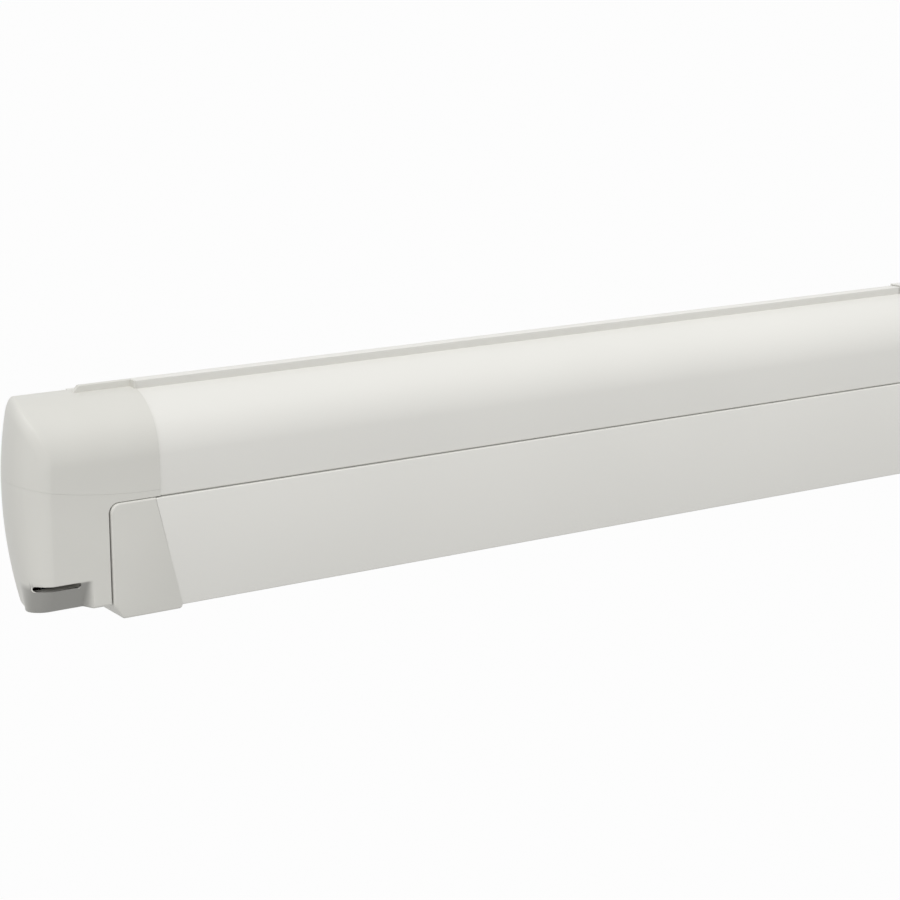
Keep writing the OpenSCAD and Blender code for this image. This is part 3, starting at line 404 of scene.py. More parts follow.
def box_object(name, low, high, sign=1):
    """A moulded box between two corners (distance, depth, height) on the left or the right."""
    near, far = sorted((sign * low[0], sign * high[0]))
    outline = [(low[1], low[2]), (high[1], low[2]), (high[1], high[2]), (low[1], high[2])]
    return extrusion(name, outline, lambda z: near, lambda z: far, material_of("white_plastic"))


def plate(name, outline, near, far, sign):
    """A moulded plate with an outline of (distance, height) between two depths, on the left or the right."""
    verts = [(sign * x, FRONT + y, z) for y in (near, far) for x, z in outline]
    return mesh_object(name, verts, capped(2, len(outline)), material_of("white_plastic"))


def sleeve(name, outer, inner, near, far, material):
    """A tube between two like outlines; near and far give the place of an outline's point at each end."""
    count = len(outer)
    verts = [place(*point) for loop in (outer, inner) for place in (near, far) for point in loop]
    faces = []
    for a, b in ((0, 1), (1, 3), (3, 2), (2, 0)):
        faces += [(a * count + i, a * count + (i + 1) % count, b * count + (i + 1) % count, b * count + i)
                  for i in range(count)]
    return mesh_object(name, verts, faces, material)


def carve(piece, tools):
    """Cuts the tools out of the piece and takes them away."""
    for tool in tools:
        cutter = piece.modifiers.new("cut", "BOOLEAN")
        cutter.operation = "DIFFERENCE"
        cutter.solver = "MANIFOLD"
        cutter.object = tool
    applied(piece, CAP_SHARP)
    for tool in tools:
        bpy.data.objects.remove(tool)
    return piece


def joined(pieces):
    """Joins mesh objects into the first one."""
    target = pieces[0]
    work = bmesh.new()
    for piece in pieces:
        work.from_mesh(piece.data)
    work.to_mesh(target.data)
    work.free()
    for piece in pieces[1:]:
        bpy.data.objects.remove(piece)
    return target


def mirrored(piece, name):
    """A copy of the piece on the other side of the middle plane."""
    mesh = piece.data.copy()
    mesh.name = name
    mesh.transform(Matrix.Scale(-1, 4, (1, 0, 0)))
    mesh.flip_normals()
    return new_object(name, mesh)


MATERIALS = {}


def material_of(slot):
    """The material for a slot of the record, made once."""
    makers = {
        "white_coat": powder_coat,
        "white_plastic": moulded_cap,
        "bare_alu": drawn_aluminium,
        "cast_alu": cast_coat,
        "steel": zinc_steel,
        "awning_fabric": awning_cloth,
        "grey_plastic": lambda: plain_moulding("moulded nylon", "3A3B3D", 0.45, 0.58, 0.8),
        "bush_plastic": lambda: plain_moulding("natural acetal", "E8E4D6", 0.35, 0.45, 1.2),
        "bronze": lambda: plain_moulding("machined bronze", "A67C3D", 0.30, 0.42, 0.7),
        "seal_rubber": lambda: plain_moulding("EPDM rubber", "A9A9A5", 0.60, 0.75, 0.9),
        "keder_cord": lambda: plain_moulding("PVC keder", "C9C9C6", 0.45, 0.55, 0.7),
    }
    if slot not in MATERIALS:
        MATERIALS[slot] = makers[slot]()
    return MATERIALS[slot]


def dress(piece, body, slot, *nodes):
    """The piece rides a body and stands for the named nodes; the slot is not used."""
    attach(piece, body)
    if nodes:
        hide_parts(*nodes)
    return piece


def shading_tree():
    """Node tree that shades a CAD mesh smooth and keeps its edges above an angle sharp."""
    tree = bpy.data.node_groups.new("smooth by angle", "GeometryNodeTree")
    for way in ("INPUT", "OUTPUT"):
        tree.interface.new_socket("Geometry", in_out=way, socket_type="NodeSocketGeometry")
    mesh = add(tree, "NodeGroupInput").outputs["Geometry"]
    angle = add(tree, "GeometryNodeInputMeshEdgeAngle").outputs["Unsigned Angle"]
    limit = math.radians(38)
    soft = add(tree, "FunctionNodeCompare", {"operation": "LESS_THAN"}, i0=angle, i1=limit).outputs["Result"]
    faces = add(tree, "GeometryNodeSetShadeSmooth", {"domain": "FACE"}, Geometry=mesh, Shade_Smooth=True)
    edges = add(tree, "GeometryNodeSetShadeSmooth", {"domain": "EDGE"}, Geometry=faces.outputs["Geometry"],
                Shade_Smooth=soft)
    add(tree, "NodeGroupOutput", Geometry=edges.outputs["Geometry"])
    return tree


class AWNING_OT_finishes(bpy.types.Operator):
    """Give every CAD node the finish of its material slot and soft edges"""

    bl_idname = "awning.finishes"
    bl_label = "Finishes"

    # Edge radius in mm by material slot; pieces not named keep their edges.
    EDGES = {"cast_alu": 1.6, "bare_alu": 0.5, "steel": 0.4, "grey_plastic": 0.9, "white_coat": 0.8,
             "bush_plastic": 0.4}
    # Points nearer than this are one, faces flatter than this are one, and edges past this angle are rounded.
    WELD, FLAT, CORNER = 0.005 * MM, math.radians(0.3), math.radians(50)

    def execute(self, context):
        shading = shading_tree()
        for entry in frame["record"]["subparts"]:
            node = frame["nodes"][entry["node"]]
            slot = entry["material_slot"]
            node.data.materials.clear()
            node.data.materials.append(material_of(slot))
            node.modifiers.new("weld", "WELD").merge_threshold = self.WELD
            if slot in self.EDGES:
                # Flat faces become one face each, so that the edge rounding meets no sliver.
                flat = node.modifiers.new("flat faces", "DECIMATE")
                flat.decimate_type = "DISSOLVE"
                flat.angle_limit = self.FLAT
                bevel = node.modifiers.new("edges", "BEVEL")
                bevel.width = self.EDGES[slot] * MM
                bevel.segments = 3
                bevel.limit_method = "ANGLE"
                bevel.angle_limit = self.CORNER
            node.modifiers.new("shading", "NODES").node_group = shading
            node.modifiers.new("even faces", "WEIGHTED_NORMAL").keep_sharp = True
        return {"FINISHED"}


class AWNING_OT_housing(bpy.types.Operator):
    """Build the extruded housing with its round crown, ridge and tray"""

    bl_idname = "awning.housing"
    bl_label = "Housing"

    def execute(self, context):
        sizes = context.scene.awning_sizes
        wall, edge = sizes.wall, sizes.soft_edge
        low, ridge_top = HOUSING_LOW.z, HOUSING_HIGH.z
        top = ridge_top - sizes.ridge_h
        back = HOUSING_HIGH.y - FRONT
        lip, tray_lip = lip_z(sizes), 7.2 * MM
        ridge, ridge_end, tray, roof = sizes.ridge_y, sizes.ridge_y + sizes.ridge_w, sizes.tray_y, sizes.roof_y
        eaves = top - sizes.roof_fall
        foot, round_ridge = 0.3 * MM, 0.6 * MM
        roof_bend, inner_bend, eaves_bend, wall_foot = 8 * MM, 6 * MM, 3 * MM, 2 * MM
        heel = ridge + sizes.ridge_under
        crown, inner_crown = sizes.crown_r, sizes.crown_r - wall
        foot_z = top - crown + math.sqrt(crown ** 2 - (crown - heel) ** 2)
        inner_z = top - crown + math.sqrt(inner_crown ** 2 - (crown - heel - wall) ** 2)
        outer_curve = self.crown_line(crown, crown, top - crown, heel)
        inner_curve = self.crown_line(inner_crown, crown, top - crown, heel + wall)
        corners = [
            (0, lip, edge), *outer_curve, (heel, foot_z, 0), (ridge, ridge_top, round_ridge),
            (ridge_end, ridge_top, round_ridge), (ridge_end, top, foot), (roof, top, roof_bend),
            (back, eaves, eaves_bend), (back, low, wall_foot), (tray, low, edge), (tray, low + tray_lip, edge),
            (tray + wall, low + tray_lip, edge), (tray + wall, low + wall, edge), (back - wall, low + wall, edge),
            (back - wall, eaves - wall, edge), (roof, top - wall, inner_bend), (ridge_end - wall, top - wall, 0),
            (ridge_end - wall, ridge_top - wall, 0), (ridge + wall, ridge_top - wall, 0), (heel + wall, inner_z, 0),
            *reversed(inner_curve), (wall, lip, edge),
        ]
        piece = extrusion("housing", filleted(corners), lambda z: -BODY_X, lambda z: BODY_X, material_of("white_coat"))
        dress(piece, "cassette", "white_coat", "housing_profile")
        self.seal(sizes, lip)
        return {"FINISHED"}

    @staticmethod
    def crown_line(radius, axis_y, axis_z, end):
        """Corners along the crown, from its upright start to a depth."""
        last = math.degrees(math.acos((end - axis_y) / radius))
        return [(y, z, 0) for y, z in arc_of((axis_y, axis_z), radius, 180, last, 48)]

    @staticmethod
    def seal(sizes, lip):
        """The rubber strip behind the lower front edge, with a lip that hangs into the seam."""
        low, high = corners_of("front_seal")
        near, far, hang = low.y - FRONT, high.y - FRONT, sizes.seam_z - 0.5 * MM
        soft, gap = 0.3 * MM, 0.05 * MM
        tip, flank, heel = near - 1.3 * MM, near + 0.5 * MM, near + 0.7 * MM
        outline = filleted([(tip, hang, soft), (flank, hang, soft), (heel, low.z, soft), (far, low.z, soft),
                            (far, high.z, soft), (near + gap, high.z, soft), (near + gap, lip - gap, 0),
                            (tip, lip - gap, 0)], 3)
        piece = extrusion("front_seal_strip", outline, lambda z: low.x, lambda z: high.x, material_of("seal_rubber"))
        dress(piece, "cassette", "seal_rubber", "front_seal")


def lip_z(sizes):
    """Height of the housing's lower front edge over the seam."""
    return sizes.seam_z + sizes.seam_half


def smooth_step(t):
    """0 to 1 with soft ends."""
    t = min(1.0, max(0.0, t))
    return t * t * (3 - 2 * t)


def run_of(a, b, count):
    """Points from a towards b, without b."""
    return [(a[0] + (b[0] - a[0]) * i / count, a[1] + (b[1] - a[1]) * i / count) for i in range(count)]


def arc_of(centre, radius, start, end, count):
    """Points along an arc in degrees, without its end."""
    turns = [math.radians(start + (end - start) * i / count) for i in range(count)]
    return [(centre[0] + radius * math.cos(t), centre[1] + radius * math.sin(t)) for t in turns]


def curve_through(points, at):
    """Value of a smooth curve through (place, value) points; it goes on straight past its ends."""
    last = len(points) - 1

    def slope(i):
        before, after = points[max(i - 1, 0)], points[min(i + 1, last)]
        return (after[1] - before[1]) / (after[0] - before[0])

    i = next((k for k in range(last - 1, 0, -1) if at >= points[k][0]), 0)
    (near, low), (far, high) = points[i], points[i + 1]
    run = far - near
    t = (at - near) / run
    if t < 0:
        return low + slope(i) * (at - near)
    if t > 1:
        return high + slope(i + 1) * (at - far)
    rest = 1 - t
    ends = low * (1 + 2 * t) * rest * rest + high * (3 - 2 * t) * t * t
    return ends + run * t * rest * (slope(i) * rest - slope(i + 1) * t)


def parting(sizes, x):
    """Height of the caps' parting line at a distance from the middle."""
    return sizes.parting_z + sizes.parting_r - math.sqrt(sizes.parting_r ** 2 - (x - BODY_X) ** 2)


class AWNING_OT_end_caps(bpy.types.Operator):
    """Build the two mouldings of each end cap, with the crank scoop and slot"""

    bl_idname = "awning.end_caps"
    bl_label = "End caps"

    # Plan of the end face in mm: depth, and how far it stays short of the awning's half length.
    END_PLAN = ((-0.8, 23.5), (7, 14.3), (15, 8.2), (26, 4.6), (40, 4.8), (60, 9.8), (80, 18.2), (100, 29.3),
                (116, 39.9), (124, 45.6))
    # Middle of the end face as depth and height, and how deep the scoop reaches back at the corner.
    MIDDLE_Y, SWELL_Z, SCOOP_REACH = 40 * MM, 3.7 * MM, 36 * MM
    # Rows of points along the cap, round its edge and over its end face.
    ROWS_ALONG, ROWS_EDGE, ROWS_FACE = 72, 12, 18
    PARTING_GAP = 0.08 * MM
    # Run over which the scoop's face eases off round the corner, and the share of its height that is eased.
    CORNER_RUN, CORNER_EASE = 16 * MM, 0.2

    def execute(self, context):
        sizes = context.scene.awning_sizes
        rows = self.rows(sizes)
        for side, sign in SIDES:
            upper = self.half(sizes, rows, side + "_cap_top", sign, 1)
            ridge = self.ridge(sizes, side, sign)
            dress(joined([upper, *ridge]), "cassette", "white_plastic", side + "_cap_upper")
            lower = self.half(sizes, rows, side + "_cap_foot", sign, -1)
            slotted = side == "left"
            self.cut(lower, sizes, sign, slotted)
            walls = self.pocket_walls(sizes, side, sign)
            if slotted:
                walls.append(self.slot_sleeve(sizes, sign))
            # Painted shade: the scoop's face is marked so that the moulding's colour is darkened there.
            self.paint_scoop_shade(sizes, lower)
            dress(joined([lower, *walls]), "cassette", "white_plastic", side + "_cap_lower")
        return {"FINISHED"}

    def outline(self, sizes, cut):
        """Closed outline of one slice; cut is the share of the end's rounding."""
        draw_top, draw_low, draw_back, draw_crown = (cut * size * MM for size in (11.5, 0.2, 8, 8))
        front = -sizes.cap_proud + sizes.cap_edge_r * cut
        top = HOUSING_HIGH.z - sizes.ridge_h + sizes.cap_proud - draw_top
        low = CAP_UNDER + draw_low
        back = CAP_HIGH.y - FRONT - draw_back
        crown = sizes.crown_r - draw_crown
        near, far = 2 * MM, 6 * MM
        roof = (back - 4 * MM, top - sizes.roof_fall)
        # Points lie closer round the scoop's top edge.
        under, over = -sizes.scoop_z - 3 * MM, -sizes.scoop_z + 1 * MM
        return (run_of((front, low + near), (front, under), 14)
                + run_of((front, under), (front, over), 10)
                + run_of((front, over), (front, top - crown), 60)
                + arc_of((front + crown, top - crown), crown, 180, 90, 30)
                + run_of((front + crown, top), (sizes.cap_roof_y, top), 8)
                + run_of((sizes.cap_roof_y, top), roof, 16)
                + run_of(roof, (back, roof[1] - far), 4)
                + run_of((back, roof[1] - far), (back, low + far), 24)
                + arc_of((back - far, low + far), far, 0, -90, 6)
                + run_of((back - far, low), (front + near, low), 40)
                + arc_of((front + near, low + near), near, 270, 180, 6))

    def end_x(self, sizes, y, z):
        """Distance of the end face from the middle at a depth and a height."""
        rise = z - self.SWELL_Z
        fall = rise * rise / (2 * sizes.cap_swell_top)
        if rise < 0:
            fall = rise * rise / (2 * sizes.cap_swell_low) * smooth_step(y / self.MIDDLE_Y)
        return HALF_X - curve_through(self.END_PLAN, y / MM) * MM - fall

    def rows(self, sizes):
        """Rows of (distance, depth, height) points from the housing to the middle of the end face."""
        edge = sizes.cap_edge_r
        flat = self.outline(sizes, 0)
        rows = []
        for i in range(self.ROWS_ALONG):
            share = i / self.ROWS_ALONG
            rows.append([(BODY_X + share * (self.end_x(sizes, y, z) - edge - BODY_X), y, z) for y, z in flat])
        for i in range(self.ROWS_EDGE + 1):
            turn = math.radians(90 * i / self.ROWS_EDGE)
            short = edge * (1 - math.sin(turn))
            rim = self.outline(sizes, 1 - math.cos(turn))
            rows.append([(self.end_x(sizes, y, z) - short, y, z) for y, z in rim])
        for i in range(1, self.ROWS_FACE + 1):
            keep = 1 - i / self.ROWS_FACE
            ring = [(self.MIDDLE_Y + (y - self.MIDDLE_Y) * keep, z * keep) for y, z in rim]
            rows.append([(self.end_x(sizes, y, z), y, z) for y, z in ring])
        return [[self.scooped(sizes, point) for point in row] for row in rows]

    @staticmethod
    def scoop_depth(sizes, x):
        """Share of the scoop's depth at a distance from the middle: its inner end is soft."""
        inner, soft = BODY_X + sizes.crank_x - sizes.slot_w / 2 - 8 * MM, 6 * MM
        return smooth_step((x - inner) / soft + 0.5)

    def scooped(self, sizes, point):
        """Draws the front in below the scoop's top edge, as a slanted face that starts softly at the corner."""
        x, y, z = point
        fall = (-sizes.scoop_z - z) / (-sizes.scoop_z - CAP_UNDER)
        if fall <= 0 or y > self.SCOOP_REACH:
            return point
        past_slot = x - BODY_X - sizes.crank_x - sizes.slot_w / 2
        soft = self.CORNER_EASE * smooth_step(past_slot / self.CORNER_RUN)
        fall = math.hypot(fall, soft) - soft
        push = self.scoop_depth(sizes, x) * sizes.scoop_d * fall
        return (x, y + push * (1 - (y + sizes.cap_proud) / (self.SCOOP_REACH + sizes.cap_proud)), z)

    def paint_scoop_shade(self, sizes, piece):
        """Marks the scoop's face for the painted shade in the moulding's colour."""
        values = piece.data.attributes.new("recess", "FLOAT", "POINT").data
        outer = BODY_X + sizes.crank_x + sizes.slot_w / 2 + 14 * MM
        edge_run, back_run = 1.5 * MM, 20 * MM
        for vert, value in zip(piece.data.vertices, values):
            x, y, z = abs(vert.co.x), vert.co.y - FRONT, vert.co.z
            edge = smooth_step((-sizes.scoop_z - z) / edge_run)
            back = smooth_step((self.SCOOP_REACH - y) / back_run)
            corner = smooth_step((outer - x) / self.CORNER_RUN)
            value.value = self.scoop_depth(sizes, x) * edge * (back * corner)

    def half(self, sizes, rows, name, sign, up):
        """The part of the cap above or below the parting line, as a closed shell."""
        verts = [(sign * x, FRONT + y, z - parting(sizes, x)) for row in rows for x, y, z in row]
        faces = skin(len(rows), len(rows[0]))
        piece = mesh_object(name, verts, faces, material_of("white_plastic"), CAP_SHARP)
        work = bmesh.new()
        work.from_mesh(piece.data)
        plane = up * self.PARTING_GAP / 2
        geometry = work.verts[:] + work.edges[:] + work.faces[:]
        bmesh.ops.bisect_plane(work, geom=geometry, plane_co=(0, 0, plane), plane_no=(0, 0, up), clear_inner=True)
        for vert in work.verts:
            vert.co.z += parting(sizes, abs(vert.co.x))
        bmesh.ops.remove_doubles(work, verts=work.verts, dist=2e-5)
        bmesh.ops.recalc_face_normals(work, faces=work.faces)
        outward = sum((face.calc_center_median().x * sign - BODY_X) * face.normal.x * sign * face.calc_area()
                      for face in work.faces)
        if outward < 0:
            bmesh.ops.reverse_faces(work, faces=work.faces)
        work.to_mesh(piece.data)
        work.free()
        thick = piece.modifiers.new("wall", "SOLIDIFY")
        thick.thickness = sizes.cap_wall
        thick.offset = -1
        return applied(piece, CAP_SHARP)

    def cut(self, piece, sizes, sign, slotted):
        """Cuts the rail cap's pocket and, at the crank, the slot."""
        inner, outer, low, top = BODY_X - 1 * MM, self.side_wall(), -95 * MM, lip_z(sizes)
        corner, pocket_y, slot_y = 9 * MM, -5 * MM, -3 * MM
        corners = [(inner, low, 0), (outer, low, 0), (outer, top, corner), (inner, top, 0)]
        tools = [plate("pocket", filleted(corners), pocket_y, sizes.pocket_y, sign)]
        if slotted:
            tools.append(plate("slot", self.slot(sizes, 0), slot_y, 2 * sizes.scoop_d, sign))
        carve(piece, tools)

    @staticmethod
    def slot(sizes, grow):
        """Outline of the crank slot, grown all round."""
        middle, half = BODY_X + sizes.crank_x, sizes.slot_w / 2 + grow
        top, low = -sizes.scoop_z - 0.3 * MM + grow, -sizes.scoop_z - sizes.slot_h - grow
        corner = 2.2 * MM
        return filleted([(middle - half, low, corner), (middle + half, low, corner), (middle + half, top, corner),
                         (middle - half, top, corner)], 5)

    def slot_sleeve(self, sizes, sign):
        """The sleeve behind the slot that guides the crank's hook."""
        near, far, wall = FRONT + 1.5 * MM, FRONT + 14 * MM, 0.6 * MM
        bend, slope = HALF_X - self.END_PLAN[0][1] * MM, 0.85

        def rim(x, z):
            """The front edge follows the cap's round corner past the bend."""
            return (sign * x, near + slope * max(0.0, x - bend), z)

        return sleeve("slot_sleeve", self.slot(sizes, wall), self.slot(sizes, 0), rim,
                      lambda x, z: (sign * x, far, z), material_of("white_plastic"))

    @staticmethod
    def side_wall():
        """Distance of the wall beside the rail cap from the middle."""
        return -RAIL_CAP_LOW.x + 1.5 * MM

    def pocket_walls(self, sizes, side, sign):
        """The wall beside the rail cap and the one behind it."""
        out, back, wall = self.side_wall(), sizes.pocket_y, sizes.cap_wall
        low, top = CAP_UNDER + 1 * MM, sizes.parting_z
        beside = box_object(side + "_cap_beside", (out, 0.4 * MM, low), (out + wall, back + wall, top), sign)
        behind = box_object(side + "_cap_behind", (BODY_X + 0.2 * MM, back, low),
                            (out, back + wall, top - 1 * MM), sign)
        return [beside, behind]

    def ridge(self, sizes, side, sign):
        """The cover on the ridge's end and the rib that carries its line on over the cap."""
        top, base = HOUSING_HIGH.z, HOUSING_HIGH.z - sizes.ridge_h - 1.6 * MM
        near, far, rib = sizes.ridge_y, sizes.ridge_y + sizes.ridge_w, sizes.ridge_y + 7.5 * MM
        start, stop, end = (sign * (BODY_X + run) for run in (0, 2 * MM, sizes.cap_ridge_l))
        soft, slant = 1 * MM, sign * 0.9
        cover, section = (filleted([(y, base, 0), (y, top, soft), (far, top, soft), (far, base, 0)], 4)
                          for y in (near, rib))
        moulding = material_of("white_plastic")
        return [extrusion(side + "_ridge_end", cover, lambda z: start, lambda z: stop, moulding),
                extrusion(side + "_cap_rib", section, lambda z: stop, lambda z: end - slant * (z - base), moulding)]


class AWNING_OT_lead_rail(bpy.types.Operator):
    """Build the lead rail and its slanted end caps"""

    bl_idname = "awning.lead_rail"
    bl_label = "Lead rail"

    # Height of the roof of the channel that holds the legs.
    CHANNEL_Z = -67 * MM

    def execute(self, context):
        sizes = context.scene.awning_sizes
        wall, edge = sizes.wall, sizes.soft_edge
        front, low, top = RAIL_LOW.y - FRONT, RAIL_LOW.z, RAIL_HIGH.z
        back, inner = RAIL_HIGH.y - FRONT, 14 * MM
        axis = (KEDER_LOW + KEDER_HIGH) / 2
        keder_y, keder_z = axis.y - FRONT, axis.z
        groove = (KEDER_HIGH.z - KEDER_LOW.z) / 2 + 0.3 * MM
        groove_back = keder_y + groove + 1.9 * MM
        roof, rear, foot, flange = self.CHANNEL_Z, inner + wall, front + 5 * MM, self.CHANNEL_Z - 7 * MM
        mouth, round_mouth, round_front, round_top = 1.3 * MM, 0.4 * MM, 1.2 * MM, 0.7 * MM
        first = math.asin(mouth / groove)
        turns = [first + (2 * math.pi - 2 * first) * k / 24 for k in range(25)]
        ring = [(keder_y + groove * math.cos(t), keder_z + groove * math.sin(t), 0) for t in turns]
        corners = [
            (front, low, round_front), (front, top, round_top), (groove_back, top, round_front),
            (groove_back, keder_z + mouth, round_mouth), *ring, (rear, keder_z - mouth, round_mouth),
            (rear, roof + wall, edge), (back, roof + wall, edge), (back, flange, edge), (back - wall, flange, edge),
            (back - wall, roof, edge), (front + wall, roof, edge), (front + wall, low + wall, edge),
            (foot, low + wall, edge), (foot, low, edge),
        ]
        piece = extrusion("lead_rail_skin", filleted(corners, 4), lambda z: -self.joint_x(z), self.joint_x,
                          material_of("white_coat"))
        dress(piece, "lead", "white_coat", "lead_rail")
        left = self.rail_cap(sizes)
        right = mirrored(left, "right_rail_end")
        dress(left, "lead", "white_plastic", "left_rail_cap")
        dress(right, "lead", "white_plastic", "right_rail_cap")
        return {"FINISHED"}

    @staticmethod
    def joint_x(z):
        """Distance of the slanted joint between rail and rail cap from the middle."""
        top_x, top_z, slant, rise = BODY_X + 7 * MM, 5 * MM, 25 * MM, 110 * MM
        return top_x - slant * (top_z - z) / rise

    def rail_cap(self, sizes):
        """The left rail cap: a moulded shell with a soft front edge, open at the back and under the legs."""
        out, top, low = -RAIL_CAP_LOW.x, RAIL_CAP_HIGH.z, RAIL_CAP_LOW.z
        near, far, wall = RAIL_CAP_LOW.y, RAIL_CAP_HIGH.y, sizes.cap_wall
        gap, soft, slant_x, slant_z = 0.05 * MM, 1.6 * MM, 8 * MM, 12 * MM
        round_low, round_side, round_top, round_joint = 3 * MM, 4 * MM, 8 * MM, 0.3 * MM
        outline = filleted([
            (-self.joint_x(low) - gap, low, round_low), (-out + slant_x, low, round_low),
            (-out, low + slant_z, round_side), (-out, top, round_top), (-self.joint_x(top) - gap, top, round_joint),
        ], 6)
        count = len(outline)
        centre = Vector((sum(p[0] for p in outline) / count, sum(p[1] for p in outline) / count))
        front = [self.drawn_in(p, centre, soft) for p in outline]
        inner = [self.drawn_in(p, centre, wall) for p in outline]
        rows = [(near, front)]
        for k in range(1, 6):
            turn = math.radians(18 * k)
            share = math.sin(turn)
            edge = [(a[0] + (b[0] - a[0]) * share, a[1] + (b[1] - a[1]) * share) for a, b in zip(front, outline)]
            rows.append((near + soft * (1 - math.cos(turn)), edge))
        rows += [(far, outline), (far, inner), (near + wall, inner)]
        verts = [(x, depth, z) for depth, row in rows for x, z in row]
        piece = mesh_object("left_rail_end", verts, capped(len(rows), count), material_of("white_plastic"), CAP_SHARP)
        # The legs swing out of the rail's channel past the open underside.
        past = 2 * MM
        way = box_object("leg_way", (BODY_X - 30 * MM, near - FRONT + wall + 0.2 * MM, low - past),
                         (out - 9 * MM, far - FRONT + past, self.CHANNEL_Z - 0.5 * MM), -1)
        return carve(piece, [way])

    @staticmethod
    def drawn_in(point, centre, distance):
        """A point of the cap's outline moved towards its middle by a distance each way, less at the joint."""
        way = Vector(point) - centre
        step_x = -min(distance, -way.x) if way.x < 0 else min(0.25 * MM, way.x)
        step_z = math.copysign(min(distance, abs(way.y)), way.y)
        return (point[0] - step_x, point[1] - step_z)


def joint(name):
    """The record's entry of a joint."""
    return next(entry for entry in frame["record"]["behaviour"]["joints"] if entry["name"] == name)


class AWNING_OT_arms(bpy.types.Operator):
    """Build the arms' drawn tubes with round corners"""

    bl_idname = "awning.arms"
    bl_label = "Arms"

    def execute(self, context):
        wrist = Vector(joint("left_wrist")["pos_m"])
        for side, _ in SIDES:
            shoulder = Vector(joint(side + "_shoulder")["pos_m"])
            across = (shoulder - Vector((shoulder.x, wrist.y, wrist.z))).normalized()
            for bone, start, body in (("_upper", shoulder, "_upper_arm"), ("_fore", wrist, "_forearm")):
                node = side + bone + "_tube"
                low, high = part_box(node)
                piece = self.tube(side + bone + "_skin", start, across, low[0], high[0])
                dress(piece, side + body, "white_coat", node)
        return {"FINISHED"}

    @staticmethod
    def tube(name, start, across, near, far):
        """A rectangular tube along X whose sides follow the arms' sloping plane."""
        wide, high, wall, corner = 17 * MM, 18 * MM, 2.5 * MM, 4 * MM
        over = Vector((1, 0, 0)).cross(across)
        signs = ((-1, -1), (1, -1), (1, 1), (-1, 1))
        outer = filleted([(u * wide, v * high, corner) for u, v in signs], 5)
        inner = [(u * (wide - wall) / wide, v * (high - wall) / high) for u, v in outer]
        ends = [lambda u, v, x=x: Vector((x, start.y, start.z)) + across * u + over * v for x in (near, far)]
        return sleeve(name, outer, inner, *ends, material_of("white_coat"))


def stitch_tree(material):
    """Node tree of rows of stitches; gives the tree and the identifiers of its named inputs."""
    tree = bpy.data.node_groups.new("stitch rows", "GeometryNodeTree")
    tree.interface.new_socket("Geometry", in_out="OUTPUT", socket_type="NodeSocketGeometry")
    inputs = (("Start", "Vector"), ("Pitch", "Vector"), ("Stitches", "Int"), ("Row step", "Vector"), ("Rows", "Int"),
              ("Half stitch", "Vector"))
    names = {}
    for name, kind in inputs:
        names[name] = tree.interface.new_socket(name, in_out="INPUT", socket_type="NodeSocket" + kind).identifier
    given = add(tree, "NodeGroupInput").outputs
    bead = add(tree, "GeometryNodeMeshUVSphere", Segments=6, Rings=4, Radius=1.0).outputs["Mesh"]
    stitch = add(tree, "GeometryNodeTransform", Geometry=bead, Scale=given["Half stitch"]).outputs["Geometry"]
    spots = add(tree, "GeometryNodeMeshLine", Count=given["Stitches"], Offset=given["Pitch"]).outputs["Mesh"]
    row = add(tree, "GeometryNodeInstanceOnPoints", Points=spots, Instance=stitch).outputs["Instances"]
    starts = add(tree, "GeometryNodeMeshLine", Count=given["Rows"], Start_Location=given["Start"],
                 Offset=given["Row step"]).outputs["Mesh"]
    rows = add(tree, "GeometryNodeInstanceOnPoints", Points=starts, Instance=row).outputs["Instances"]
    real = add(tree, "GeometryNodeRealizeInstances", Geometry=rows).outputs["Geometry"]
    sewn = add(tree, "GeometryNodeSetMaterial", Geometry=real, Material=material).outputs["Geometry"]
    add(tree, "NodeGroupOutput", Geometry=sewn)
    return tree, names


